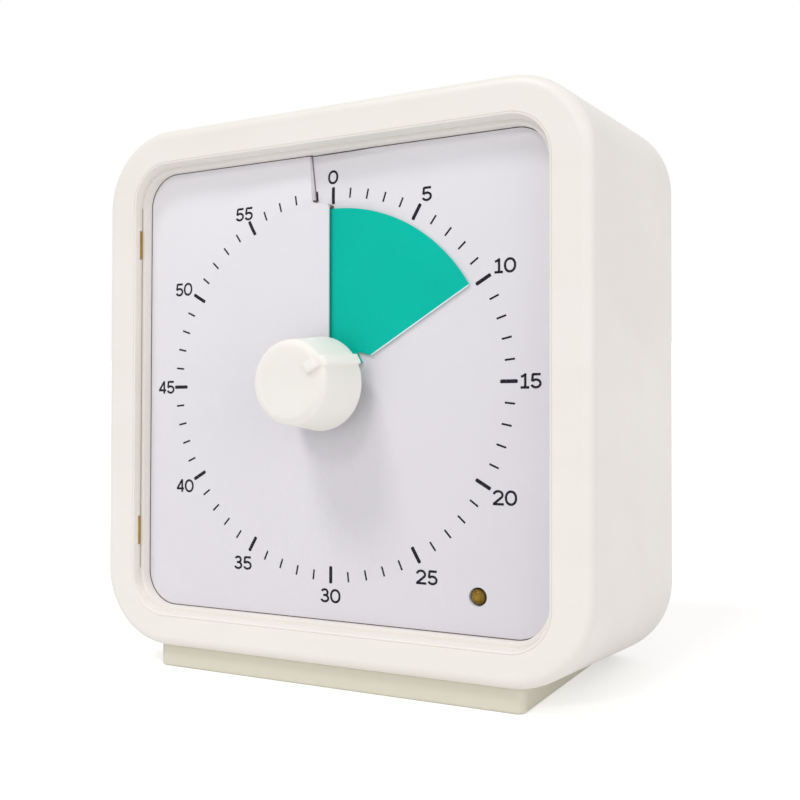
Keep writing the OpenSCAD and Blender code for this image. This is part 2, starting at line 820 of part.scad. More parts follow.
// Distance from the dial centre to the edge of the card along clock angle a
function card_edge(a) =
    let (
        s = abs(sin(a)), c = abs(cos(a)), half_w = card_w / 2, half_h = card_h / 2,
        straight = min(half_w / max(s, tiny), half_h / max(c, tiny)),
        mid_x = half_w - card_corner_r, mid_y = half_h - card_corner_r,
        along = mid_x * s + mid_y * c,
        off = mid_x * mid_x + mid_y * mid_y - card_corner_r * card_corner_r
    )
    straight * s > mid_x && straight * c > mid_y ? along + sqrt(max(along * along - off, 0)) : straight;

// Height of the card at clock angle a, inside the disc's radius
function card_height(a) =
    a < drop_to ? -lip_drop * (1 - a / drop_to)
    : a > lip_from ? lip_rise * (a - lip_from) / (360 - lip_from)
    : 0;

// Share of that height left at radius r
function lip_share(r) = r <= step_r ? 1 : max(1 - (r - step_r) / (lip_end_r - step_r), 0);

// The slit steps sideways outside the disc and runs on to the card's edge at a slant
function slit_turn(r) =
    r < step_r ? 0 : asin((slit_step + slit_drift * (r - step_r) / (card_h / 2 - step_r)) / r);

module dial_card() {
    steps = 92;
    stations = [for (i = [0:steps]) slit_half_angle + (360 - 2 * slit_half_angle) * i / steps];
    grid = [
        for (a = stations)
            let (edge_r = card_edge(a - slit_turn(card_h / 2)))
            [
                for (r = [card_hole_r, flat_r, step_r, (step_r + lip_end_r) / 2, lip_end_r, edge_r])
                    let (turned = a - slit_turn(min(r, card_h / 2)))
                    concat(on_dial(r, turned), card_height(a) * lip_share(r))
            ]
    ];
    color(card_colour) difference() {
        sheet(grid, card_t);
        rod([led_x, led_y], -card_t - 1, 1, led_r + fit_gap);
    }
}

// Slice of a disc between two clock angles
module sector(r, from, to) {
    polygon(concat([[0, 0]], [for (i = [0:6]) on_dial(r, from + (to - from) * i / 6)]));
}

// Sheet behind the card, with a round cup for the hidden turn of the disc and a
// shallow pocket below the part of the card that drops beside the slit
module dial_plate() {
    color(plate_colour) difference() {
        union() {
            slab(sheet_back_z, card_back_z) {
                rounded_rect(card_w, card_h, card_corner_r);
                for (sy = [-1, 1]) translate([-ear_x, sy * plate_ear_y - ear_boss_r])
                    square([2 * ear_x, 2 * ear_boss_r]);
                four_corners(ear_x, plate_ear_y) circle(ear_boss_r);
            }
            rod([0, 0], plate_back_z, card_back_z, plate_cup_r);
            slab(pocket_z - plate_t, card_back_z) sector(plate_pocket_r + plate_t, -12, drop_to + 5);
            four_corners(cover_boss_x, cover_boss_y)
                slab(cover_ear_z, plate_back_z + tiny) circle(cover_boss_r);
            rod([led_x, led_y], plate_back_z, card_back_z, led_r + plate_t);
            rod([led_x, led_screw_y], led_board_z, card_back_z, led_post_r);
        }
        rod([0, 0], disc_floor_z, 1, plate_recess_r);
        slab(pocket_z, 1) sector(plate_pocket_r, -8, drop_to + 2);
        rod([0, 0], plate_back_z - 1, 1, bush_r + fit_gap);
        four_corners(ear_x, plate_ear_y) slab(sheet_back_z - 1, 1) circle(small_screw_r + screw_slack);
        four_corners(cover_boss_x, cover_boss_y)
            slab(cover_ear_z - 1, plate_back_z + 1) circle(small_screw_r, $fn = small_fn);
        rod([led_x, led_y], plate_back_z - 1, 1, led_r + running);
        slab(led_board_z - 1, led_board_z + led_screw_l) translate([led_x, led_screw_y])
            circle(led_screw_r, $fn = small_fn);
    }
}

module dial_plate_screws() {
    color(steel_colour) four_corners(ear_x, plate_ear_y)
        screw_up(sheet_back_z, ear_screw_l, small_screw_r, small_head_r, small_head_h);
}

// ---------------------------------------------------------------- knob, spindle and disc

function knob_r(z) = knob_base_d / 2 + (knob_tip_d - knob_base_d) / 2 * (z - knob_back_z) / knob_l;

module knob_body() {
    rounding = [
        for (a = [0:15:90])
            [knob_tip_d / 2 - knob_round * (1 - cos(a)), knob_front_z - knob_round * (1 - sin(a))]
    ];
    rotate_extrude() difference() {
        polygon(concat([[0, knob_back_z], [knob_base_d / 2, knob_back_z]], rounding,
            [[0, knob_front_z]]));
        polygon([
            [spindle_r + knob_wall, knob_back_z - 1], [knob_base_d / 2 - knob_wall, knob_back_z - 1],
            [knob_r(knob_front_z - knob_wall - 1) - knob_wall, knob_front_z - knob_wall - 1],
            [spindle_r + knob_wall, knob_front_z - knob_wall - 1]
        ]);
    }
}

// Ridge across the knob's front and down its side, pointing at the disc's edge
module pointer() {
    start = 6.2;
    side_top = [knob_tip_d / 2 + pointer_h, knob_front_z - knob_round];
    rotate(90 - set_angle - pointer_lead) rotate([90, 0, 0]) translate([0, 0, -pointer_w / 2])
        linear_extrude(pointer_w) polygon([
            [start, knob_front_z - knob_wall / 2], [start + 1, knob_front_z + pointer_h],
            [knob_tip_d / 2 - knob_round / 2, knob_front_z + pointer_h],
            side_top, [knob_base_d / 2 + pointer_h, knob_back_z],
            [knob_base_d / 2 - knob_wall / 2, knob_back_z],
            [knob_tip_d / 2 - knob_wall, knob_front_z - knob_wall]
        ]);
}

module knob() {
    color(shell_colour) difference() {
        union() {
            knob_body();
            pointer();
        }
        slab(knob_back_z - 1, spindle_tip_z) d_shape(spindle_r, spindle_flat);
    }
}

// Circle with one flat, at the side away from the pointer
module d_shape(r, flat) {
    rotate(90 - set_angle) intersection() {
        circle(r);
        translate([-flat, -r]) square([r + flat, 2 * r]);
    }
}

module spindle() {
    color(steel_colour) {
        difference() {
            rod([0, 0], centre_bottom_z - running - 1, spindle_tip_z, spindle_r);
            slab(flat_end_z, spindle_tip_z + 1) rotate(90 - set_angle)
                translate([-2 * spindle_r, -spindle_r])
                    square([2 * spindle_r - spindle_flat, 2 * spindle_r]);
            slab(clip_z, clip_z + clip_t) difference() {
                circle(spindle_r + 1);
                circle(clip_groove_r);
            }
        }
        rod([0, 0], centre_bottom_z - 1 - running, centre_bottom_z - running, spindle_flange_r);
        rod([0, 0], movement_back_z - movement_wall + 0.1, centre_bottom_z - 1, spindle_tail_r);
    }
}

module spindle_clip() {
    color(steel_colour) slab(clip_z, clip_z + clip_t) difference() {
        circle(spindle_r + 1.2);
        circle(clip_groove_r);
        translate([0, -clip_groove_r]) square([spindle_r + 2, 2 * clip_groove_r]);
    }
}

// Dished washer that presses the centre wheel against the spindle's flange
module clutch_spring() {
    washer_t = 0.2;
    high = clip_z;
    low = centre_top_z + running;
    color(steel_colour) rotate_extrude() polygon([
        [spindle_r + 0.1, high], [spindle_r + 0.1, high - washer_t], [spindle_r + 2.4, low],
        [spindle_r + 3, low], [spindle_r + 3, low + washer_t]
    ]);
}

module disc_hub() {
    color(disc_colour) slab(hub_top_z - hub_len, hub_top_z) difference() {
        circle(hub_r);
        d_shape(spindle_r + running, spindle_flat + running);
    }
}

// Middle height of the disc at clock angle a
function disc_height(a) = disc_lift + disc_pitch * a / 360;

// One turn of a helical sheet, with a notch beside the hub at its leading edge
module colour_disc() {
    steps = 89;
    notch = 14;
    grid = [
        for (i = [0:steps])
            let (a = set_angle - disc_span + disc_span * i / steps, z = disc_height(a) + disc_t / 2)
            [concat(on_dial(hub_r, a), z), concat(on_dial(disc_r, a), z)]
    ];
    color(disc_colour) difference() {
        sheet(grid, disc_t);
        slab(disc_height(set_angle) - disc_t, disc_height(set_angle) + disc_t)
            polygon([
                on_dial(disc_r * 0.22, set_angle - 1), on_dial(disc_r * 0.24, set_angle - notch),
                on_dial(disc_r * 0.3, set_angle), on_dial(disc_r * 0.28, set_angle + 8)
            ]);
    }
}

// ---------------------------------------------------------------- movement

wheel_places = [third_at, second_at, first_at, rotor_at];

module movement_base() {
    color(black_colour) difference() {
        union() {
            slab(movement_front_z, plate_back_z) rounded_rect(movement_side, movement_side, 4);
            rod([0, 0], plate_back_z - tiny, disc_floor_z + bush_top_gap, bush_r);
        }
        rod([0, 0], movement_front_z - 1, disc_floor_z + 1, spindle_r + running);
        for (at = wheel_places) rod(at, movement_front_z - 1, plate_back_z + 1, pivot_r + running);
    }
}

module movement_cover() {
    color(black_colour) difference() {
        union() {
            slab(movement_back_z - movement_wall, movement_front_z)
                rounded_rect(movement_side, movement_side, 4);
            slab(cover_ear_z - cover_ear_t, cover_ear_z) {
                for (sy = [-1, 1]) translate([-cover_boss_x, sy * cover_boss_y - cover_boss_r])
                    square([2 * cover_boss_x, 2 * cover_boss_r]);
                four_corners(cover_boss_x, cover_boss_y) circle(cover_boss_r);
            }
        }
        slab(movement_back_z, movement_front_z + 1)
            rounded_rect(movement_side - 2 * movement_wall, movement_side - 2 * movement_wall, 2.5);
        slab(movement_back_z - movement_wall - 1, movement_back_z + 1) {
            for (at = wheel_places) translate(at) circle(pivot_r + running);
            circle(spindle_tail_r + running);
            translate(lead_hole_at) circle(lead_hole_r);
        }
        four_corners(cover_boss_x, cover_boss_y)
            slab(cover_ear_z - cover_ear_t - 1, cover_ear_z + 1) circle(small_screw_r + screw_slack);
    }
}

module movement_screws() {
    color(steel_colour) four_corners(cover_boss_x, cover_boss_y)
        screw_up(cover_ear_z - cover_ear_t, 7, small_screw_r, small_head_r, small_head_h);
}

// A wheel on its arbor, with a tooth towards the next pinion
module wheel(teeth, size, wheel_z, towards) {
    color(brass_colour) slab(wheel_z, wheel_z + wheel_t) rotate(towards) toothed(teeth, size);
    color(steel_colour) arbor();
}

// A pinion, with a gap between two teeth back towards the wheel that it meets
module pinion(teeth, size, meets_low, meets_high, towards) {
    color(steel_colour) slab(meets_low - pass_gap, meets_high + pass_gap)
        rotate(towards + 180 + 180 / teeth) toothed(teeth, size);
}

module centre_wheel() {
    window_r = 2.2;
    color(brass_colour) slab(centre_bottom_z, centre_top_z) difference() {
        rotate(third_angle) toothed(centre_teeth, centre_module);
        circle(spindle_r + running);
        for (turn = [0:72:288]) rotate(turn)
            translate([centre_module * centre_teeth * 0.33, 0]) circle(window_r);
    }
}

module third_wheel() {
    translate(concat(third_at, 0)) {
        wheel(third_teeth, third_module, third_z, second_angle);
        pinion(slow_pinion_teeth, centre_module, centre_bottom_z, centre_top_z, third_angle);
    }
}

module second_wheel() {
    translate(concat(second_at, 0)) {
        wheel(fast_teeth, fast_module, second_z, first_angle);
        pinion(slow_pinion_teeth, third_module, third_z, third_z + wheel_t, second_angle);
    }
}

module first_wheel() {
    translate(concat(first_at, 0)) {
        wheel(fast_teeth, fast_module, first_z, rotor_angle);
        pinion(fast_pinion_teeth, fast_module, second_z, second_z + wheel_t, first_angle);
    }
}

module rotor() {
    translate(concat(rotor_at, 0)) {
        color(steel_colour) arbor();
        pinion(fast_pinion_teeth, fast_module, first_z, first_z + wheel_t, rotor_angle);
        color(black_colour) slab(magnet_z, magnet_z + magnet_t) circle(magnet_r);
    }
}

// Ring round the magnet, with one arm to each end of the coil's core
module stator() {
    rim_r = magnet_r + stator_gap + stator_rim;
    arm_w = 2.6;
    far_arm_y = coil_top_y - coil_len - 3.8;
    color(steel_colour) slab(stator_z, stator_z + stator_t) difference() {
        union() {
            translate(rotor_at) circle(rim_r);
            translate([rotor_at[0] - rim_r, far_arm_y]) square([arm_w, rotor_at[1] - far_arm_y]);
            translate([rotor_at[0] - rim_r, far_arm_y])
                square([coil_x - rotor_at[0] + rim_r + arm_w / 2, arm_w]);
            translate([rotor_at[0] - arm_w / 2, coil_top_y + 1.2])
                square([arm_w, rotor_at[1] - coil_top_y - 1.2]);
            translate([rotor_at[0] - arm_w / 2, coil_top_y + 1.2])
                square([coil_x - rotor_at[0] + arm_w, arm_w]);
        }
        translate(rotor_at) circle(magnet_r + stator_gap);
    }
}

module coil_core() {
    color(steel_colour) slab(stator_z - core_t, stator_z)
        translate([coil_x - core_w / 2, coil_top_y - coil_len - 3.8]) square([core_w, coil_len + 7.6]);
}

module coil() {
    flange_t = 0.8;
    core_slack = 0.1;
    translate([coil_x, coil_top_y, stator_z - core_t / 2]) rotate([90, 0, 0]) difference() {
        union() {
            color("#b5652b") cylinder(h = coil_len, r = coil_r - 0.4);
            color(plate_colour) for (h = [0, coil_len - flange_t]) translate([0, 0, h])
                cylinder(h = flange_t, r = coil_r);
        }
        translate([-core_w / 2 - core_slack, -core_t / 2 - core_slack, -1])
            cube([core_w + 2 * core_slack, core_t + 2 * core_slack, coil_len + 2]);
    }
}

// ---------------------------------------------------------------- battery bay

// Places a child in the middle of the bay
module in_bay() {
    translate([0, -bay_drop, cell_z]) children();
}

module cell() {
    translate([-bay_l / 2 + contact_t + spring_l, 0, 0]) rotate([0, 90, 0]) {
        cylinder(h = cell_l - nub_l, r = cell_r);
        translate([0, 0, cell_l - nub_l - tiny]) cylinder(h = nub_l + tiny, r = nub_r);
    }
}

module batteries() {
    color(black_colour) in_bay() {
        translate([0, cell_y, 0]) cell();
        rotate(180) translate([0, cell_y, 0]) cell();
    }
}

// Conical spring from the contact plate to the flat end of a cell
module battery_spring() {
    turns = 4;
    per_turn = 14;
    length = spring_l - 2 * spring_wire_r;
    path = [
        for (i = [0:turns * per_turn])
            let (
                share = i / (turns * per_turn),
                r = cell_r * (0.55 - 0.25 * share),
                a = 360 * i / per_turn
            )
            [-bay_l / 2 + contact_t + spring_wire_r + length * share, r * cos(a), r * sin(a)]
    ];
    tube(path, spring_wire_r);
}

module battery_springs() {
    color(steel_colour) in_bay() {
        translate([0, cell_y, 0]) battery_spring();
        rotate(180) translate([0, cell_y, 0]) battery_spring();
    }
}

module contact_plate(y, width) {
    translate([bay_l / 2 - contact_t, y - width / 2, -contact_w / 2])
        cube([contact_t, width, contact_w]);
}

module contact_tab(y) {
    translate([bay_l / 2 - contact_t, y - tab_w / 2, 0]) cube([contact_t, tab_w, tab_top_z - cell_z]);
}

module link_contact() {
    color(steel_colour) in_bay() rotate(180) contact_plate(0, 2 * cell_y + contact_w);
}

module positive_contact() {
    color(steel_colour) in_bay() {
        contact_plate(cell_y, contact_w);
        contact_tab(cell_y);
    }
}

module negative_contact() {
    color(steel_colour) in_bay() {
        contact_plate(-cell_y, contact_w);
        contact_tab(-cell_y);
    }
}

module battery_door() {
    color(shell_colour) difference() {
        union() {
            slab(back_z, back_z + door_t) door_outline(-fit_gap);
            slab(back_z + door_t - tiny, bay_mouth_z) translate([0, -bay_drop])
                square([bay_l - 4 * fit_gap, bay_h - 4 * fit_gap], center = true);
        }
        rod([0, door_screw_y], back_z - 1, back_z + door_t + 1, small_screw_r + screw_slack);
        rod([0, door_screw_y], back_z - 1, back_z + door_head_h, small_head_r + screw_slack);
        for (i = [-2:2]) slab(back_z - 1, back_z + 0.5) translate([0, 4 * i - bay_drop])
            square([0.4 * bay_l, 1.2], center = true);
    }
}

module door_screw() {
    color(steel_colour) translate([0, door_screw_y, 0])
        screw_up(back_z + door_head_h, door_screw_l - 1, small_screw_r, small_head_r, door_head_h);
}

// ---------------------------------------------------------------- boards, lamp and sound

module main_board() {
    color(board_colour) slab(board_back_z, board_back_z + board_t) translate([board_x, board_y])
        difference() {
            rounded_rect(board_w, board_h, board_corner_r);
            four_corners(board_w / 2 - board_hole_in, board_h / 2 - board_hole_in)
                circle(small_screw_r + screw_slack);
        }
}

// The controller chip and two capacitors on the front of the main board
module board_parts() {
    face = board_back_z + board_t;
    color(black_colour) translate([board_x, board_y]) {
        slab(face, face + chip_t) translate([-board_w / 28, board_h / 16])
            square([chip_w, chip_h], center = true);
        slab(face, face + big_cap_l) translate([board_w / 4, board_h / 8]) circle(big_cap_r);
        slab(face, face + small_cap_l) translate([board_w / 4, -board_h / 6]) circle(small_cap_r);
    }
}

module board_screws() {
    color(steel_colour) translate([board_x, board_y, 2 * (board_back_z + board_t)]) mirror([0, 0, 1])
        four_corners(board_w / 2 - board_hole_in, board_h / 2 - board_hole_in)
            screw_up(board_back_z + board_t, 7, small_screw_r, small_head_r, small_head_h);
}

module switch_body() {
    top_z = board_back_z - switch_body_t;
    color(black_colour) difference() {
        slab(top_z, board_back_z) translate([switch_x, switch_y])
            square([switch_w, switch_h], center = true);
        slab(top_z - 1, top_z + slider_stem_l + pass_gap) translate([switch_x, switch_y])
            square([slider_stem_w + switch_travel + 2 * pass_gap, slider_stem_h + 2 * running],
                center = true);
    }
}

module switch_slider() {
    top_z = board_back_z - switch_body_t;
    rest_x = switch_x - switch_travel / 2;
    color(black_colour) translate([rest_x, switch_y]) {
        slab(back_z + slider_sink, top_z - running) square([slider_w, slider_h], center = true);
        slab(top_z - 1, top_z + slider_stem_l) square([slider_stem_w, slider_stem_h], center = true);
    }
}

module buzzer() {
    color(black_colour) translate([buzzer_x, buzzer_y, 0]) difference() {
        rod([0, 0], back_wall_z, back_wall_z + buzzer_t, buzzer_r);
        rod([0, 0], back_wall_z - 1, back_wall_z + 2.5, buzzer_port_r);
    }
}

module led() {
    dome_z = led_proud - led_r;
    color("#8c6a14") translate([led_x, led_y, 0]) {
        slab(plate_back_z, dome_z) circle(led_r);
        translate([0, 0, dome_z]) intersection() {
            sphere(led_r);
            cylinder(h = led_r, r = led_r);
        }
        slab(plate_back_z - led_flange_t, plate_back_z) circle(led_flange_r);
    }
    color(steel_colour) for (side = [-1, 1])
        slab(led_board_z - board_t - 0.8, plate_back_z - led_flange_t + tiny)
            translate([led_x + side * lead_pitch / 2, led_y]) circle(led_leg_r, $fn = 16);
}

module led_board() {
    color(board_colour) slab(led_board_z - board_t, led_board_z) difference() {
        translate([led_x, led_y + 3.4]) rounded_rect(led_board_w, led_board_h + 4, 1);
        for (side = [-1, 1]) translate([led_x + side * lead_pitch / 2, led_y])
            circle(led_leg_r + running, $fn = 16);
        translate([led_x, led_screw_y]) circle(led_screw_r + screw_slack, $fn = small_fn);
    }
}

module led_board_screw() {
    color(steel_colour) translate([led_x, led_screw_y, 0])
        screw_up(led_board_z - board_t, led_screw_l, led_screw_r, led_head_r, 1);
}

// ---------------------------------------------------------------- leads

module lead(points) {
    tube(smooth_path(points, lead_turns), lead_r);
}

module battery_leads() {
    color("#b3312b") lead(positive_lead);
    color(black_colour) lead(negative_lead);
}

module led_leads() {
    color("#e0b030") lead(led_lead_right);
    color(black_colour) lead(led_lead_left);
}

module coil_leads() {
    color("#e8e8e8") lead(coil_lead_left);
    color("#3b62a8") lead(coil_lead_right);
}

module buzzer_leads() {
    color("#b3312b") lead(buzzer_lead_upper);
    color(black_colour) lead(buzzer_lead_lower);
}

stand_up() rear_shell();
stand_up() front_bezel();
stand_up() case_screws();
stand_up() foot();
stand_up() lens();
stand_up() dial_card();
stand_up() dial_plate();
stand_up() dial_plate_screws();
stand_up() knob();
stand_up() spindle();
stand_up() spindle_clip();
stand_up() clutch_spring();
stand_up() disc_hub();
stand_up() colour_disc();
stand_up() movement_base();
stand_up() movement_cover();
stand_up() movement_screws();
stand_up() centre_wheel();
stand_up() third_wheel();
stand_up() second_wheel();
stand_up() first_wheel();
stand_up() rotor();
stand_up() stator();
stand_up() coil_core();
stand_up() coil();
stand_up() batteries();
stand_up() battery_springs();
stand_up() link_contact();
stand_up() positive_contact();
stand_up() negative_contact();
stand_up() battery_door();
stand_up() door_screw();
stand_up() main_board();
stand_up() board_parts();
stand_up() board_screws();
stand_up() switch_body();
stand_up() switch_slider();
stand_up() buzzer();
stand_up() led();
stand_up() led_board();
stand_up() led_board_screw();
stand_up() battery_leads();
stand_up() led_leads();
stand_up() coil_leads();
stand_up() buzzer_leads();
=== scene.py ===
"""Looks of a visual countdown timer: a square case with a recessed dial behind a clear
window, a coloured disc that comes out through a slit at 0, a setting knob and a wedge foot.

The pieces that show are built here as fine meshes, and the solids inside the case keep
their meshes and get a finish. Sizes are in millimetres and in the frame of the dial: X to
the right, Y up the dial and Z out of the dial, with Z = 0 on the front of the dial card
and the spindle on the Z axis. Every mesh is stood up on the foot once it is made.
"""

import logging
import math
from collections.abc import Callable, Iterable, Sequence
from dataclasses import dataclass, field
from enum import Enum
from typing import Union

import bmesh
import bpy
from mathutils import Matrix, Vector


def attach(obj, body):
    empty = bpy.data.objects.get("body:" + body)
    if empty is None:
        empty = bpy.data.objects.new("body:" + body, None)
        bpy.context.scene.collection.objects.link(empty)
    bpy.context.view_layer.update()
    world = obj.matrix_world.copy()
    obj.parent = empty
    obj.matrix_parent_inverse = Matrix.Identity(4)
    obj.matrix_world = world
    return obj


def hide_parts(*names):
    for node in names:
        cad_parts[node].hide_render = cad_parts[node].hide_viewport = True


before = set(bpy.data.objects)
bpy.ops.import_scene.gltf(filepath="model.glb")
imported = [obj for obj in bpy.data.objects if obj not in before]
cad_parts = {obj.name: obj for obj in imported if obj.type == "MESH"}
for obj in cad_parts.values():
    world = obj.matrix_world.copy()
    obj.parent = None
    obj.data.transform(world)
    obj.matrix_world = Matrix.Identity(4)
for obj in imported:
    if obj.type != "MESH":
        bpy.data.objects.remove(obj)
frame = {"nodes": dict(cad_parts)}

log = logging.getLogger("countdown_timer")

Socket = bpy.types.NodeSocket
Vert = bmesh.types.BMVert
Edge = bmesh.types.BMEdge
Pair = tuple[float, float]
Rgb = tuple[float, float, float]
Point = tuple[float, float, float]
Number = Union[int, float, "Level"]


# ---------------------------------------------------------------- shared sizes


LAMP_AT = (47.7, -59.7)
LAMP_RADIUS = 2.5
TAB_Y = 46.8
BAY_Y = -44.0
CORNERS = tuple((across, up) for across in (-1, 1) for up in (-1, 1))
CORNER_STEPS = 18
PEN_STEP = 0.45
SAME_PLACE = 0.0005
BEYOND_CARD = 80.0


# ---------------------------------------------------------------- frame of the dial


@dataclass(frozen=True)
class Stand:
    """How the timer, modelled lying on its back, stands on its foot."""

    lean: float = 5.4
    foot_mid: Point = (0.0, -87.0356, -27.9602)

    @property
    def turn(self) -> Matrix:
        """Rotation from the dial's frame to the standing frame."""
        return Matrix.Rotation(math.radians(90 - self.lean), 4, "X")

    @property
    def place(self) -> Matrix:
        """Millimetres on the dial to metres on the floor."""
        return Matrix.Scale(0.001, 4) @ self.turn @ Matrix.Translation(-Vector(self.foot_mid))


STAND = Stand()


def srgb(red: int, green: int, blue: int) -> Rgb:
    """Turns a colour of 0 to 255 into the linear values that shaders take.

    Args:
        red: Red of the colour as it is seen.
        green: Green of the colour as it is seen.
        blue: Blue of the colour as it is seen.

    Returns:
        The three linear values.
    """
    def linear(value: int) -> float:
        """Linear value of one channel."""
        share = value / 255
        return share / 12.92 if share <= 0.04045 else ((share + 0.055) / 1.055) ** 2.4

    return linear(red), linear(green), linear(blue)


def on_dial(radius: float, angle: float) -> Pair:
    """Point at a radius and a clock angle in degrees."""
    return radius * math.sin(math.radians(angle)), radius * math.cos(math.radians(angle))


# ---------------------------------------------------------------- shader sums


def two_number_node(operation: str, turned: bool = False) -> Callable[["Level", Number], "Level"]:
    """Makes a method of Level that adds one Math node for two numbers.

    Args:
        operation: Name of the Math node's operation.
        turned: Whether the other number comes first.

    Returns:
        The method.
    """
    def method(level: "Level", other: Number) -> "Level":
        """Result of the operation on this level and another."""
        terms = (other, level) if turned else (level, other)
        return level.math_node(operation, *terms)

    return method


class Level:
    """A number that varies over a surface, with plain sums that add Math nodes."""

    def __init__(self, sheet: "NodeSheet", socket: Socket) -> None:
        """Keeps the node sheet and the socket that gives the number."""
        self.sheet = sheet
        self.socket = socket

    def math_node(self, operation: str, *terms: Number, clamp: bool = False) -> "Level":
        """Adds one Math node.

        Args:
            operation: Name of the Math node's operation.
            *terms: Numbers or levels for its sockets, in order.
            clamp: Whether the result is kept between 0 and 1.

        Returns:
            The node's result.
        """
        settings = {"operation": operation, "use_clamp": clamp}
        node = self.sheet.node("ShaderNodeMath", settings, dict(enumerate(terms)))
        return Level(self.sheet, node.outputs[0])

    __add__, __radd__ = two_number_node("ADD"), two_number_node("ADD", True)
    __sub__, __rsub__ = two_number_node("SUBTRACT"), two_number_node("SUBTRACT", True)
    __mul__, __rmul__ = two_number_node("MULTIPLY"), two_number_node("MULTIPLY", True)
    __truediv__, __pow__ = two_number_node("DIVIDE"), two_number_node("POWER")
    __gt__, __lt__ = two_number_node("GREATER_THAN"), two_number_node("LESS_THAN")
    most = two_number_node("MAXIMUM")

    def size(self) -> "Level":
        """This level without its sign."""
        return self.math_node("ABSOLUTE", self)

    def wave(self) -> "Level":
        """Sine of this level."""
        return self.math_node("SINE", self)

    def kept(self) -> "Level":
        """This level kept between 0 and 1."""
        return self.math_node("ADD", self, 0.0, clamp=True)

    def ramp(self, low: float, high: float) -> "Level":
        """0 below low and 1 above high, with a straight run between them.

        Args:
            low: Level that gives 0.
            high: Level that gives 1. It may lie below low.

        Returns:
            The share of the way, from 0 to 1.
        """
        return ((self - low) / (high - low)).kept()


class NodeSheet:
    """The node sheet of one material or of the world."""

    def __init__(self, tree: bpy.types.NodeTree) -> None:
        """Empties the tree that it is given."""
        self.tree = tree
        self.tree.nodes.clear()

    def node(self, kind: str, settings: dict | None = None,
             sockets: dict | None = None) -> bpy.types.Node:
        """Adds one node.

        Args:
            kind: Type name of the node.
            settings: Attributes of the node, set before its sockets.
            sockets: Values, levels or sockets for its inputs, by name or by number.

        Returns:
            The new node.
        """
        made = self.tree.nodes.new(kind)
        for key, value in (settings or {}).items():
            setattr(made, key, value)
        for key, value in (sockets or {}).items():
            self._feed(made.inputs[key], value)
        return made

    def _feed(self, target: Socket, value: object) -> None:
        """Links a level or a socket, or sets a plain value.

        Args:
            target: The input socket.
            value: What it takes.
        """
        if isinstance(value, Level):
            self.tree.links.new(value.socket, target)
        elif isinstance(value, Socket):
            self.tree.links.new(value, target)
        elif target.type == "RGBA" and len(value) == 3:
            target.default_value = (*value, 1.0)
        else:
            target.default_value = value

    def level(self, socket: Socket) -> Level:
        """Wraps a socket so that it can be used in sums."""
        return Level(self, socket)

    def seen_directly(self) -> Level:
        """Tells what the camera sees from what only lights the scene.

        Returns:
            1 for what it sees straight, in gloss or through the window, else 0.
        """
        path = self.node("ShaderNodeLightPath").outputs
        seen = self.level(path["Is Camera Ray"]).most(self.level(path["Is Glossy Ray"]))
        return seen.most(self.level(path["Is Transmission Ray"]))

    def dial_point(self) -> Socket:
        """Finds the place on the piece in the dial's frame.

        Returns:
            The place, in millimetres.
        """
        here = self.node("ShaderNodeTexCoord").outputs["Object"]
        middle = STAND.place @ Vector((0.0, 0.0, 0.0))
        settings = {"vector_type": "TEXTURE"}
        sockets = {
            "Vector": here, "Location": middle,
            "Rotation": (math.radians(90 - STAND.lean), 0.0, 0.0),
            "Scale": (0.001, 0.001, 0.001),
        }
        return self.node("ShaderNodeMapping", settings, sockets).outputs[0]

    def stretched(self, point: Socket, shares: Point) -> Socket:
        """The point with each of its axes scaled."""
        return self.node("ShaderNodeMapping", {}, {"Vector": point, "Scale": shares}).outputs[0]

    def axes(self, point: Socket) -> tuple[Level, Level, Level]:
        """The point's three numbers."""
        parts = self.node("ShaderNodeSeparateXYZ", {}, {0: point}).outputs
        return self.level(parts[0]), self.level(parts[1]), self.level(parts[2])

    def noise(self, point: Socket, scale: float, detail: float = 2.0,
              roughness: float = 0.5) -> Level:
        """Cloudy noise around 0.5.

        Args:
            point: Place on the piece.
            scale: Number of clouds in one unit of the place.
            detail: Number of finer layers.
            roughness: Strength of the finer layers.

        Returns:
            The noise as a level.
        """
        sockets = {"Vector": point, "Scale": scale, "Detail": detail, "Roughness": roughness}
        return self.level(self.node("ShaderNodeTexNoise", {}, sockets).outputs[0])

    def cells(self, point: Socket, scale: float) -> Level:
        """Distance to the nearest of many scattered specks."""
        sockets = {"Vector": point, "Scale": scale}
        return self.level(self.node("ShaderNodeTexVoronoi", {}, sockets).outputs["Distance"])

    def blend(self, share: Number, first: object, second: object) -> Socket:
        """Colour between two colours.

        Args:
            share: 0 for the first colour and 1 for the second.
            first: A linear colour or a colour socket.
            second: A linear colour or a colour socket.

        Returns:
            The colour's socket.
        """
        mixer = self.node("ShaderNodeMix", {"data_type": "RGBA"},
                          {0: share, 6: first, 7: second})
        return mixer.outputs[2]

    def bump(self, height: Level, strength: float, distance: float) -> Socket:
        """Normal that follows a fine height.

        Args:
            height: Height from 0 to 1.
            strength: How much of it shows.
            distance: Height of a full step, in metres.

        Returns:
            The normal's socket.
        """
        sockets = {"Height": height, "Strength": strength, "Distance": distance}
        return self.node("ShaderNodeBump", {}, sockets).outputs[0]

    def skin(self, **sockets: object) -> Socket:
        """Adds a Principled shader.

        Args:
            **sockets: Values by socket, named in lower case, with _ for a space.

        Returns:
            The shader.
        """
        named = {key.replace("_", " ").title().replace("Ior", "IOR"): value
                 for key, value in sockets.items()}
        return self.node("ShaderNodeBsdfPrincipled", {}, named).outputs[0]

    def show(self, shader: Socket, output: str = "ShaderNodeOutputMaterial") -> None:
        """Ends the sheet with a surface shader."""
        self.node(output, {}, {"Surface": shader})


# ---------------------------------------------------------------- finishes


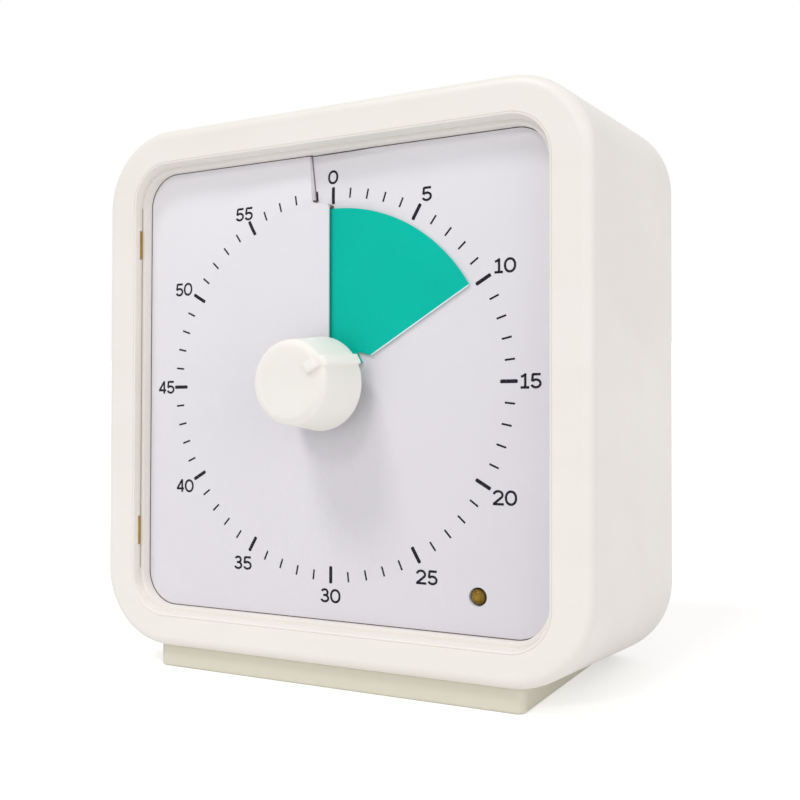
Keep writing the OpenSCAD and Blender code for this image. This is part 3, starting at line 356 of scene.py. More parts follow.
@dataclass(frozen=True)
class Finish:
    """A finish with a name. Each kind of finish paints its own node sheet."""

    name: str

    def material(self) -> bpy.types.Material:
        """Makes the finish's material when it is first asked for.

        Returns:
            The material.
        """
        found = bpy.data.materials.get(self.name)
        if found is None:
            found = bpy.data.materials.new(self.name)
            found.use_nodes = True
            self.paint(NodeSheet(found.node_tree))
        return found

    def paint(self, sheet: NodeSheet) -> None:
        """Fills the sheet. Each kind of finish does it in its own way."""
        raise NotImplementedError

    def dress(self, piece: bpy.types.Object) -> None:
        """Puts this finish on the whole piece.

        Args:
            piece: The piece.
        """
        piece.data.materials.clear()
        piece.data.materials.append(self.material())
        for face in piece.data.polygons:
            face.material_index = 0


@dataclass(frozen=True)
class MouldedPlastic(Finish):
    """Injection-moulded plastic with a fine spark-eroded grain."""

    colour: Rgb = (0.8, 0.8, 0.8)
    shade: Rgb = (0.75, 0.75, 0.75)
    roughness: float = 0.42
    grain: float = 0.12
    specular: float = 0.4
    milky: float = 0.0
    # painted light: below this level, over this band, a part's sides are painted in the lighter colour below
    worn_from: float = 0.0
    worn_band: float = 1.2
    bright: Rgb = (0.94, 0.92, 0.89)

    def paint(self, sheet: NodeSheet) -> None:
        """Soft clouds in the colour, a fine grain and a slightly uneven sheen.

        Below a given level the sides of a part are painted lighter, as painted light, and its front keeps
        its own colour.

        Args:
            sheet: The sheet to fill.
        """
        here = sheet.dial_point()
        cloud = sheet.noise(here, 0.03, 3.0)
        flow = sheet.noise(sheet.stretched(here, (0.02, 0.12, 0.05)), 1.0, 2.0)
        fine = sheet.noise(here, 3.2, 3.0, 0.6)
        pits = sheet.cells(here, 2.4)
        tone = (cloud * 0.6 + flow * 0.4).ramp(0.35, 0.68)
        colour = sheet.blend(tone, self.colour, self.shade)
        # painted light: the sides below the level are painted lighter than the front, standing in for the
        # light on them
        if self.worn_from > 0:
            _, _, out = sheet.axes(here)
            worn = out.ramp(self.worn_from - self.worn_band, self.worn_from)
            colour = sheet.blend(worn, self.bright, colour)
        rough = self.roughness + (cloud - 0.5) * 0.12 + (fine - 0.5) * 0.1
        sheet.show(sheet.skin(
            base_color=colour, roughness=rough, specular_ior_level=self.specular,
            subsurface_weight=self.milky, subsurface_radius=(1.0, 0.9, 0.8), subsurface_scale=0.004,
            normal=sheet.bump(fine * 0.7 + pits * 0.3, self.grain, 0.00003)))


@dataclass(frozen=True)
class SoftRubber(Finish):
    """Matt elastomer with a pebbled skin, a little darker along its lower edge."""

    colour: Rgb = (0.7, 0.7, 0.6)
    shade: Rgb = (0.6, 0.6, 0.5)
    # painted light: paler colour painted on the end faces
    worn: Rgb = (0.94, 0.9, 0.76)
    end: float = 62.2

    def paint(self, sheet: NodeSheet) -> None:
        """Pebbled bump, wide clouds, a darker band near the floor and end faces painted paler as painted
        light.

        Args:
            sheet: The sheet to fill.
        """
        here = sheet.dial_point()
        across, up, _ = sheet.axes(here)
        cloud = sheet.noise(here, 0.08, 4.0)
        pebble = sheet.cells(here, 2.6)
        fine = sheet.noise(here, 6.0, 2.0)
        low = up.ramp(-87.0, -90.0) * 0.35
        colour = sheet.blend((cloud.ramp(0.35, 0.7) * 0.6 + low).kept(), self.colour, self.shade)
        # painted light: the end faces are painted paler, standing in for light on them
        ends = (across ** 2.0).ramp(self.end ** 2.0, self.end ** 2.0 + 40.0)
        colour = sheet.blend(ends, colour, self.worn)
        sheet.show(sheet.skin(
            base_color=colour, roughness=0.62 + (fine - 0.5) * 0.15, specular_ior_level=0.3,
            normal=sheet.bump(pebble * 0.5 + fine * 0.5, 0.25, 0.00004)))


@dataclass(frozen=True)
class PrintedCard(Finish):
    """Coated paper board: pale, fine-grained, with a faint fibre."""

    colour: Rgb = (0.8, 0.8, 0.8)
    shade: Rgb = (0.75, 0.75, 0.78)

    def paint(self, sheet: NodeSheet) -> None:
        """Paper grain in the colour and in the height, and painted shade that grows down and to the right.

        Args:
            sheet: The sheet to fill.
        """
        here = sheet.dial_point()
        grain = sheet.noise(here, 2.4, 4.0, 0.65)
        fibre = sheet.noise(sheet.stretched(here, (0.5, 3.0, 1.0)), 1.0, 3.0, 0.6)
        cloud = sheet.noise(here, 0.025, 2.0)
        across, up, _ = sheet.axes(here)
        # painted shade: darker down and to the right, standing in for the light falling off across the dial
        tint = across * 0.0017 - up * 0.003 + 0.38
        tone = ((grain - 0.5) * 0.27 + (fibre - 0.5) * 0.1 + (cloud - 0.5) * 0.2 + tint).kept()
        colour = sheet.blend(tone, self.colour, self.shade)
        sheet.show(sheet.skin(
            base_color=colour, roughness=0.55 + (grain - 0.5) * 0.2, specular_ior_level=0.3,
            normal=sheet.bump(grain * 0.7 + fibre * 0.3, 0.18, 0.00004)))


@dataclass(frozen=True)
class Ink(Finish):
    """Dark printing ink, slightly thin in places, also used as painted shade in dark gaps."""

    colour: Rgb = (0.02, 0.02, 0.02)
    shade: Rgb = (0.04, 0.04, 0.05)

    def paint(self, sheet: NodeSheet) -> None:
        """Uneven dark colour with a low sheen, for ink and for painted shade.

        Args:
            sheet: The sheet to fill.
        """
        here = sheet.dial_point()
        thin = sheet.noise(here, 3.5, 3.0, 0.6)
        colour = sheet.blend(thin.ramp(0.4, 0.7), self.colour, self.shade)
        sheet.show(sheet.skin(
            base_color=colour, roughness=0.6 + (thin - 0.5) * 0.2, specular_ior_level=0.08,
            normal=sheet.bump(thin, 0.1, 0.00002)))


@dataclass(frozen=True)
class DiscFilm(Finish):
    """Dyed plastic film, drawn in one direction, with a little sheen."""

    colour: Rgb = (0.0, 0.48, 0.36)
    shade: Rgb = (0.0, 0.42, 0.32)

    def paint(self, sheet: NodeSheet) -> None:
        """Fine drawn lines and wide soft clouds.

        Args:
            sheet: The sheet to fill.
        """
        here = sheet.dial_point()
        drawn = sheet.noise(sheet.stretched(here, (0.1, 3.0, 1.0)), 1.0, 3.0)
        cloud = sheet.noise(here, 0.03, 2.0)
        fine = sheet.noise(here, 5.0, 2.0)
        tone = (drawn * 0.3 + cloud * 0.7).ramp(0.35, 0.7)
        sheet.show(sheet.skin(
            base_color=sheet.blend(tone, self.colour, self.shade),
            roughness=0.5 + (fine - 0.5) * 0.15, specular_ior_level=0.03,
            normal=sheet.bump(fine * 0.5 + drawn * 0.5, 0.1, 0.00002)))


@dataclass(frozen=True)
class ClearSheet(Finish):
    """Clear acrylic: you look through it, with a faint mirror image at a slant."""

    tint: Rgb = (0.9, 0.92, 0.93)
    gloss: float = 0.05
    haze: float = 0.0015

    def paint(self, sheet: NodeSheet) -> None:
        """Mixes a clear shader with a polished one, by the angle and by faint smears.

        Args:
            sheet: The sheet to fill.
        """
        here = sheet.dial_point()
        smear = sheet.noise(sheet.stretched(here, (0.03, 0.09, 0.05)), 1.0, 4.0, 0.6)
        fine = sheet.noise(here, 0.8, 2.0)
        edge = sheet.level(sheet.node("ShaderNodeFresnel", {}, {"IOR": 1.49}).outputs[0])
        share = edge * self.gloss + smear.ramp(0.5, 0.75) * self.haze
        clear = sheet.node("ShaderNodeBsdfTransparent", {}, {"Color": (0.998, 1.0, 1.0)})
        polished = sheet.skin(base_color=self.tint, metallic=1.0, roughness=0.06 + fine * 0.04)
        mixed = sheet.node("ShaderNodeMixShader", {}, {0: share, 1: clear.outputs[0], 2: polished})
        sheet.show(mixed.outputs[0])


@dataclass(frozen=True)
class WorkedMetal(Finish):
    """Plated or bare metal with fine tool marks."""

    colour: Rgb = (0.6, 0.6, 0.6)
    shade: Rgb = (0.5, 0.5, 0.5)
    roughness: float = 0.3
    marks: Point = (0.4, 4.0, 1.0)

    def paint(self, sheet: NodeSheet) -> None:
        """Tool marks in the sheen and the height, and faint tarnish in the colour.

        Args:
            sheet: The sheet to fill.
        """
        here = sheet.dial_point()
        marks = sheet.noise(sheet.stretched(here, self.marks), 2.0, 3.0)
        tarnish = sheet.noise(here, 0.5, 4.0, 0.65)
        colour = sheet.blend(tarnish.ramp(0.45, 0.75), self.colour, self.shade)
        rough = self.roughness + (marks - 0.5) * 0.25 + tarnish.ramp(0.5, 0.8) * 0.12
        sheet.show(sheet.skin(base_color=colour, metallic=1.0, roughness=rough,
                              normal=sheet.bump(marks, 0.15, 0.00003)))


@dataclass(frozen=True)
class WoundWire(Finish):
    """Enamelled copper wire wound along the Y axis, between pale bobbin ends."""

    wire: Rgb = (0.5, 0.2, 0.08)
    groove: Rgb = (0.2, 0.06, 0.02)
    bobbin: Rgb = (0.7, 0.7, 0.66)
    ends: Pair = (-24.0, -8.0)

    def paint(self, sheet: NodeSheet) -> None:
        """Turns of wire as a fine wave along the coil, with painted shade in the grooves between the turns.

        Args:
            sheet: The sheet to fill.
        """
        here = sheet.dial_point()
        _, along, _ = sheet.axes(here)
        turns = (along * 21.0).wave() * 0.5 + 0.5
        stray = sheet.noise(here, 1.5, 3.0)
        flange = ((along < self.ends[0]) + (along > self.ends[1])).kept()
        # painted shade: the grooves between the turns are darker
        wound = sheet.blend(((1 - turns) * 0.7 + stray * 0.3).kept(), self.wire, self.groove)
        sheet.show(sheet.skin(
            base_color=sheet.blend(flange, wound, self.bobbin),
            metallic=(1 - flange) * 0.6, roughness=0.35 + flange * 0.15 + (stray - 0.5) * 0.1,
            normal=sheet.bump(turns * (1 - flange), 0.4, 0.00006)))


@dataclass(frozen=True)
class BoardLacquer(Finish):
    """Circuit board with copper tracks under a green lacquer."""

    lacquer: Rgb = (0.02, 0.13, 0.05)
    track: Rgb = (0.04, 0.24, 0.08)
    pad: Rgb = (0.7, 0.7, 0.68)

    def paint(self, sheet: NodeSheet) -> None:
        """Square-cut tracks, round tinned pads and a smooth lacquer.

        Args:
            sheet: The sheet to fill.
        """
        here = sheet.dial_point()
        across, up, _ = sheet.axes(here)
        wander = sheet.noise(here, 0.12, 0.0)
        lines = ((across * 0.55 + wander * 9.0).wave()).size()
        rows = ((up * 0.7 + wander * 6.0).wave()).size()
        track = (lines > 0.86).most(rows > 0.9)
        across_cell = (across * (math.pi / 2.54)).wave().size()
        up_cell = (up * (math.pi / 2.54)).wave().size()
        dots = (across_cell * up_cell) > 0.93
        sparse = sheet.noise(here, 0.2, 1.0) > 0.53
        pad = dots * sparse
        colour = sheet.blend(pad, sheet.blend(track, self.lacquer, self.track), self.pad)
        sheet.show(sheet.skin(
            base_color=colour, metallic=pad * 0.8, roughness=0.3 + pad * 0.1 + track * 0.05,
            specular_ior_level=0.5, normal=sheet.bump(track * 0.5 + pad * 0.5, 0.3, 0.00005)))


@dataclass(frozen=True)
class CellWrap(Finish):
    """Plain printed wrap of a battery cell, with bare steel at both ends."""

    body: Rgb = (0.02, 0.02, 0.025)
    band: Rgb = (0.5, 0.34, 0.12)
    can: Rgb = (0.6, 0.6, 0.6)
    half_length: float = 24.4
    band_from: float = 8.0

    def paint(self, sheet: NodeSheet) -> None:
        """A dark wrap with a gold band towards each cell's positive end.

        Args:
            sheet: The sheet to fill.
        """
        here = sheet.dial_point()
        across, up, _ = sheet.axes(here)
        upper = up > BAY_Y
        along = across * (upper * 2 - 1) - 2.5
        band = along > self.band_from
        bare = along.size() > self.half_length
        scuff = sheet.noise(here, 1.2, 4.0, 0.6)
        wrap = sheet.blend(band, self.body, self.band)
        worn = sheet.blend(scuff.ramp(0.62, 0.8) * 0.25, wrap, (0.3, 0.3, 0.3))
        sheet.show(sheet.skin(
            base_color=sheet.blend(bare, worn, self.can), metallic=bare.most(band * 0.5),
            roughness=0.28 + (scuff - 0.5) * 0.12, coat_weight=(1 - bare) * 0.4,
            normal=sheet.bump(scuff, 0.08, 0.00003)))


@dataclass(frozen=True)
class LampResin(Finish):
    """Cast amber resin with a darker rim painted as shade and a pale centre, the chip inside with a painted
    glint.
    """

    rim: Rgb = (0.05, 0.026, 0.002)
    body: Rgb = (0.19, 0.106, 0.003)
    heart: Rgb = (0.3, 0.19, 0.008)

    def paint(self, sheet: NodeSheet) -> None:
        """Rings round the lamp's own axis, with metal legs behind it.

        Args:
            sheet: The sheet to fill.
        """
        here = sheet.dial_point()
        across, up, out = sheet.axes(here)
        off = ((across - LAMP_AT[0]) ** 2.0 + (up - LAMP_AT[1]) ** 2.0) ** 0.5
        cloud = sheet.noise(here, 0.9, 3.0)
        # painted shade: the dome darkens towards its rim
        edge = (off + (cloud - 0.5) * 0.3).ramp(LAMP_RADIUS * 0.62, LAMP_RADIUS * 0.98)
        # the chip inside with a painted glint: paler towards the centre
        inner = sheet.blend((off + (cloud - 0.5) * 0.8).ramp(0.2, 1.3), self.heart, self.body)
        resin = sheet.blend(edge, inner, self.rim)
        leg = out < -6.5
        sheet.show(sheet.skin(
            base_color=sheet.blend(leg, resin, (0.6, 0.6, 0.62)), metallic=leg,
            roughness=0.2 + cloud * 0.1, coat_weight=(1 - leg) * 0.06,
            specular_ior_level=0.15, normal=sheet.bump(cloud, 0.05, 0.00003)))


@dataclass(frozen=True)
class LeadSleeve(Finish):
    """Sleeves of a pair of leads, one colour on each side of a line across the pair."""

    first: Rgb = (0.5, 0.02, 0.02)
    second: Rgb = (0.02, 0.02, 0.02)
    split_x: float = 28.3
    split_y: float = BAY_Y

    def paint(self, sheet: NodeSheet) -> None:
        """Two colours of soft sleeve with a fine drawn grain.

        Args:
            sheet: The sheet to fill.
        """
        here = sheet.dial_point()
        across, up, _ = sheet.axes(here)
        other = (across > self.split_x).most(up < self.split_y)
        fine = sheet.noise(here, 3.0, 3.0)
        base = sheet.blend(other, self.first, self.second)
        colour = sheet.blend(fine.ramp(0.4, 0.8) * 0.25, base, (0.25, 0.25, 0.25))
        sheet.show(sheet.skin(base_color=colour, roughness=0.45 + (fine - 0.5) * 0.2,
                              specular_ior_level=0.4, normal=sheet.bump(fine, 0.1, 0.00003)))


@dataclass(frozen=True)
class PlainFloor(Finish):
    """Pale floor that looks white where nothing shades it, and keeps the shadows."""

    colour: Rgb = (0.9, 0.9, 0.9)
    lift: float = 0.4

    def paint(self, sheet: NodeSheet) -> None:
        """A matt floor with a lift for what the camera sees.

        Args:
            sheet: The sheet to fill.
        """
        seen = sheet.seen_directly()
        here = sheet.node("ShaderNodeTexCoord").outputs["Object"]
        fine = sheet.noise(here, 900.0, 2.0)
        matt = sheet.skin(base_color=sheet.blend(fine * 0.1, self.colour, (0.86, 0.86, 0.86)),
                          roughness=0.9, specular_ior_level=0.0)
        glow = sheet.node("ShaderNodeEmission", {}, {"Color": (1.0, 1.0, 1.0), "Strength": self.lift})
        dark = sheet.node("ShaderNodeEmission", {}, {"Color": (0.0, 0.0, 0.0), "Strength": 0.0})
        lift = sheet.node("ShaderNodeMixShader", {}, {0: seen, 1: dark.outputs[0], 2: glow.outputs[0]})
        both = sheet.node("ShaderNodeAddShader", {}, {0: matt, 1: lift.outputs[0]})
        sheet.show(both.outputs[0])


WHITE_SHELL = MouldedPlastic("white_shell_plastic", srgb(237, 232, 227), srgb(233, 228, 222))
# painted light: the knob's sides are painted lighter than its front
KNOB_PLASTIC = MouldedPlastic("knob_plastic", srgb(239, 235, 230), srgb(235, 231, 225), 0.5, 0.1, 0.2,
                              milky=0.45, worn_from=24.0, bright=srgb(249, 244, 236))
# painted shade: the look of the shaded slots, painted on the window's tab ends
PAINTED_SLOT_SHADE = MouldedPlastic("painted_slot_shade", srgb(232, 200, 122), srgb(212, 176, 98), 0.5, 0.15)
DARK_PLASTIC = MouldedPlastic("dark_plastic", srgb(48, 50, 52), srgb(38, 40, 42), 0.45, 0.2)
PLATE_PLASTIC = MouldedPlastic("dial_plate_plastic", srgb(228, 228, 224), srgb(220, 220, 214))
FOOT_RUBBER = SoftRubber("foot_rubber", srgb(222, 217, 197), srgb(213, 207, 186))
# painted shade for the dark gaps at the card's edge and at the slit
PAINTED_GAP_SHADE = Ink("painted_gap_shade", srgb(92, 84, 76), srgb(112, 104, 94))
# painted shade in the groove at the window's sides
PAINTED_GROOVE_SHADE = Ink("painted_groove_shade", srgb(176, 168, 154), srgb(192, 184, 170))
# the disc's cut edge, widened, with a painted highlight
LIT_FILM_EDGE = DiscFilm("film_edge_highlight", srgb(232, 236, 240), srgb(222, 228, 234))
# the darker colour also carries the card's painted shade
DIAL_BOARD = PrintedCard("dial_board", srgb(236, 233, 238), srgb(208, 203, 211))
DIAL_INK = Ink("dial_ink", srgb(30, 27, 35), srgb(44, 41, 50))
TEAL_FILM = DiscFilm("teal_film", srgb(0, 192, 174), srgb(0, 184, 164))
WINDOW_SHEET = ClearSheet("window_sheet")
BRIGHT_STEEL = WorkedMetal("bright_steel", srgb(205, 207, 209), srgb(176, 178, 180), 0.3)
SPRING_STEEL = WorkedMetal("spring_steel", srgb(196, 198, 200), srgb(160, 162, 166), 0.22)
WHEEL_BRASS = WorkedMetal("wheel_brass", srgb(214, 182, 102), srgb(176, 140, 70), 0.3, (2.0, 2.0, 1.0))
COIL_WIRE = WoundWire("coil_wire")
GREEN_BOARD = BoardLacquer("green_board")
CELL_JACKET = CellWrap("cell_jacket")
AMBER_LAMP = LampResin("amber_lamp")
RED_BLACK = LeadSleeve("red_black_leads", srgb(178, 48, 42), srgb(40, 41, 43))
YELLOW_BLACK = LeadSleeve("yellow_black_leads", srgb(224, 176, 50), srgb(40, 41, 43), 48.6, -90.0)
COPPER_PAIR = LeadSleeve("copper_pair_leads", srgb(181, 101, 43), srgb(150, 84, 40), 8.0, -90.0)
WHITE_PAIR = LeadSleeve("white_pair_leads", srgb(224, 222, 214), srgb(60, 62, 66), 90.0, 36.0)
PALE_FLOOR = PlainFloor("pale_floor")


# ---------------------------------------------------------------- making meshes


@dataclass(frozen=True)
class Ring:
    """One outline of a lofted solid: a rounded rectangle at a level, with a rounded rim or not."""

    half_w: float
    half_h: float
    corner: float
    level: float
    rim: float = 0.0
    rim_steps: int = 3


def square_ring(half: float, corner: float, level: float, rim: float = 0.0,
                rim_steps: int = 3) -> Ring:
    """Ring that is as high as it is wide."""
    return Ring(half, half, corner, level, rim, rim_steps)


def arc(centre: Pair, radii: Pair, start: float, end: float,
        steps: int = 22, squareness: float = 1.0) -> list[Pair]:
    """Points along part of an oval.

    Args:
        centre: Middle of the oval.
        radii: Half of its width and half of its height.
        start: First angle in degrees, counted from the right against the clock.
        end: Last angle.
        steps: Number of steps between them.
        squareness: 1 for a plain oval and less for a squarer one.

    Returns:
        The points.
    """
    points = []
    for step in range(steps + 1):
        turn = math.radians(start + (end - start) * step / steps)
        c, s = math.cos(turn), math.sin(turn)
        points.append((centre[0] + radii[0] * math.copysign(abs(c) ** squareness, c),
                       centre[1] + radii[1] * math.copysign(abs(s) ** squareness, s)))
    return points


def square_path(half: float, corner: float) -> list[Pair]:
    """Points round a square with rounded corners, ending where they start.

    Args:
        half: Half of its side.
        corner: Radius of its corners.

    Returns:
        The points, with the first one again at the end.
    """
    mid = half - corner
    points = []
    for centre, start in (((mid, mid), 0), ((-mid, mid), 90), ((-mid, -mid), 180), ((mid, -mid), 270)):
        points += arc(centre, (corner, corner), start, start + 90, 16)
    return points + points[:1]


class Cut(Enum):
    """How one solid changes another."""

    TAKE_AWAY = "DIFFERENCE"
    ADD = "UNION"


class Solid:
    """A mesh under way, in millimetres, in the dial's frame."""

    storey = 40.0

    def __init__(self) -> None:
        """Starts with nothing."""
        self.bm = bmesh.new()

    def outline(self, ring: Ring) -> list[Edge]:
        """Draws a rounded rectangle.

        Args:
            ring: The outline to draw.

        Returns:
            The edges of the outline.
        """
        known = set(self.bm.faces)
        signs = ((-1, -1), (1, -1), (1, 1), (-1, 1))
        corners = [self.bm.verts.new((sx * ring.half_w, sy * ring.half_h, ring.level))
                   for sx, sy in signs]
        self.bm.faces.new(corners)
        bmesh.ops.bevel(self.bm, geom=corners, offset=ring.corner, affect="VERTICES",
                        segments=CORNER_STEPS, profile=0.5, material=-1)
        face = next(f for f in self.bm.faces if f not in known)
        edges = list(face.edges)
        bmesh.ops.delete(self.bm, geom=[face], context="FACES_ONLY")
        return edges

    def loft(self, rings: Sequence[Ring], closed: bool = False) -> None:
        """Joins outlines one after the other, then rounds the rims that ask for it.

        The outlines are joined while they stand one above the other, because outlines that
        lie in one plane can be joined with a twist, and then each goes to its own level.

        Args:
            rings: The outlines in order.
            closed: Whether the last one joins the first. Otherwise both ends are filled.
        """
        loops = [self.outline(ring) for ring in rings]
        stacks = [{vert for edge in loop for vert in edge.verts} for loop in loops]
        for floor, verts in enumerate(stacks):
            for vert in verts:
                vert.co.z = self.storey * floor
        pairs = list(zip(loops, loops[1:]))
        if closed:
            pairs.append((loops[-1], loops[0]))
        for near, far in pairs:
            bmesh.ops.bridge_loops(self.bm, edges=near + far)
        for ring, verts in zip(rings, stacks):
            for vert in verts:
                vert.co.z = ring.level
        if not closed:
            for end in (loops[0], loops[-1]):
                bmesh.ops.contextual_create(self.bm, geom=end)
        for ring, loop in zip(rings, loops):
            if ring.rim:
                self.round_edges(loop, ring.rim, ring.rim_steps)

    def round_edges(self, edges: Iterable[Edge], radius: float, steps: int) -> None:
        """Rounds edges."""
        bmesh.ops.bevel(self.bm, geom=list(edges), offset=radius, offset_type="OFFSET",
                        affect="EDGES", segments=steps, profile=0.5, material=-1)

    def box(self, low: Point, high: Point) -> None:
        """Adds a box between two corners.

        Args:
            low: Lowest corner.
            high: Highest corner.
        """
        size = [b - a for a, b in zip(low, high)]
        middle = [(a + b) / 2 for a, b in zip(low, high)]
        place = Matrix.Translation(middle) @ Matrix.Diagonal((*size, 1.0))
        bmesh.ops.create_cube(self.bm, size=1.0, matrix=place)

    def rod(self, at: Pair, low: float, high: float, radius: float,
            segments: int = 48, top_radius: float | None = None) -> list[Vert]:
        """Adds a round rod along Z.

        Args:
            at: Place of its axis.
            low: Level of its lower end.
            high: Level of its upper end.
            radius: Radius of its lower end.
            segments: Number of sides.
            top_radius: Radius of its upper end, where it differs.

        Returns:
            The new vertices.
        """
        place = Matrix.Translation((at[0], at[1], (low + high) / 2))
        made = bmesh.ops.create_cone(
            self.bm, cap_ends=True, segments=segments, radius1=radius,
            radius2=radius if top_radius is None else top_radius, depth=high - low, matrix=place)
        return made["verts"]

    def turned(self, profile: Sequence[Pair], steps: int = 96,
               at: Pair = (0.0, 0.0)) -> None:
        """Turns a line of points round an axis along Z.

        Args:
            profile: Radius and level of each point.
            steps: Number of steps in the turn.
            at: Place of the axis.
        """
        points = [self.bm.verts.new((at[0] + r, at[1], z)) for r, z in profile]
        line = [self.bm.edges.new(pair) for pair in zip(points, points[1:])]
        bmesh.ops.spin(self.bm, geom=points + line, cent=(at[0], at[1], 0.0), axis=(0, 0, 1),
                       angle=math.tau, steps=steps, use_merge=True)
        self.heal()

    def heal(self) -> None:
        """Merges doubles and points the faces outwards."""
        bmesh.ops.remove_doubles(self.bm, verts=self.bm.verts, dist=SAME_PLACE)
        bmesh.ops.recalc_face_normals(self.bm, faces=self.bm.faces)

    def face_upwards(self) -> None:
        """Points the faces of an open sheet upwards."""
        bmesh.ops.recalc_face_normals(self.bm, faces=self.bm.faces)
        if sum(face.normal.z for face in self.bm.faces) < 0:
            bmesh.ops.reverse_faces(self.bm, faces=self.bm.faces)

    def edges_where(self, test: Callable[[Vector], bool]) -> list[Edge]:
        """Edges with both ends where the test holds."""
        return [e for e in self.bm.edges if all(test(v.co) for v in e.verts)]

    def move(self, place: Matrix, verts: Iterable[Vert] | None = None) -> None:
        """Moves all vertices, or the ones given."""
        chosen = list(self.bm.verts if verts is None else verts)
        bmesh.ops.transform(self.bm, matrix=place, verts=chosen)

    def thicken(self, faces: Iterable[bmesh.types.BMFace], reach: Point) -> list[Vert]:
        """Gives flat faces a thickness.

        Args:
            faces: The faces of one side.
            reach: Way from this side to the other.

        Returns:
            The vertices of the other side.
        """
        grown = bmesh.ops.extrude_face_region(self.bm, geom=list(faces))
        far = [part for part in grown["geom"] if isinstance(part, Vert)]
        self.move(Matrix.Translation(reach), far)
        return far

    def pen_line(self, line: Sequence[Pair], width: float, thickness: float,
                 place: Matrix) -> None:
        """Adds a flat stroke of constant width.

        Args:
            line: Middle line of the stroke. It is a loop if it ends where it starts.
            width: Width of the stroke.
            thickness: Its thickness, upwards.
            place: Where the stroke goes.
        """
        loop = math.dist(line[0], line[-1]) < 1e-6
        points = [Vector((*line[0], 0.0))]
        for start, end in zip(line, line[1:]):
            parts = max(1, math.ceil(math.dist(start, end) / PEN_STEP))
            for part in range(1, parts + 1):
                points.append(Vector((*start, 0.0)).lerp(Vector((*end, 0.0)), part / parts))
        if loop:
            points.pop()
        count = len(points)
        pairs = []
        for k, here in enumerate(points):
            into = here - points[k - 1] if loop or k else points[1] - here
            out = points[(k + 1) % count] - here if loop or k < count - 1 else into
            along = (into.normalized() + out.normalized()).normalized()
            side = Vector((-along.y, along.x, 0.0))
            reach = width / 2 / max(along.dot(into.normalized()), 0.5)
            pairs.append([self.bm.verts.new(place @ (here + side * reach * way)) for way in (-1, 1)])
        ends = pairs + pairs[:1] if loop else pairs
        faces = [self.bm.faces.new((a[0], b[0], b[1], a[1])) for a, b in zip(ends, ends[1:])]
        self.thicken(faces, (0, 0, thickness))

    def made(self, name: str) -> bpy.types.Object:
        """Ends the mesh.

        Args:
            name: Name of the piece.

        Returns:
            The piece as an object, still lying in the dial's frame.
        """
        self.heal()
        mesh = bpy.data.meshes.new(name)
        self.bm.to_mesh(mesh)
        self.bm.free()
        piece = bpy.data.objects.new(name, mesh)
        bpy.context.scene.collection.objects.link(piece)
        return piece


def cut(piece: bpy.types.Object, tool: Solid, how: Cut) -> None:
    """Adds a solid to a piece or takes it away.

    Args:
        piece: The piece to change.
        tool: The solid. It is used up.
        how: Whether it is added or taken away.
    """
    other = tool.made(piece.name + "_tool")
    step = piece.modifiers.new("cut", "BOOLEAN")
    step.operation = how.value
    step.solver = "EXACT"
    step.object = other
    ready = piece.evaluated_get(bpy.context.evaluated_depsgraph_get())
    shape = bpy.data.meshes.new_from_object(ready)
    piece.modifiers.clear()
    old, spare = piece.data, other.data
    piece.data = shape
    shape.name = piece.name
    bpy.data.objects.remove(other)
    bpy.data.meshes.remove(spare)
    bpy.data.meshes.remove(old)


def fit(piece: bpy.types.Object, finish: Finish, body: str,
        instead_of: Sequence[str] = (), sharp: float = 35.0) -> None:
    """Stands a piece up, dresses it and sets it on its body.

    Args:
        piece: The piece, lying in the dial's frame in millimetres.
        finish: Its finish.
        body: Name of the body that it rides on.
        instead_of: Names of the solids that it stands for.
        sharp: Angle in degrees above which an edge stays sharp.
    """
    piece.data.transform(STAND.place)
    piece.data.shade_smooth()
    piece.data.set_sharp_from_angle(angle=math.radians(sharp))
    finish.dress(piece)
    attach(piece, body)
    if instead_of:
        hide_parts(*instead_of)
    log.info("%s: %d faces, rides on %s", piece.name, len(piece.data.polygons), body)


# ---------------------------------------------------------------- case


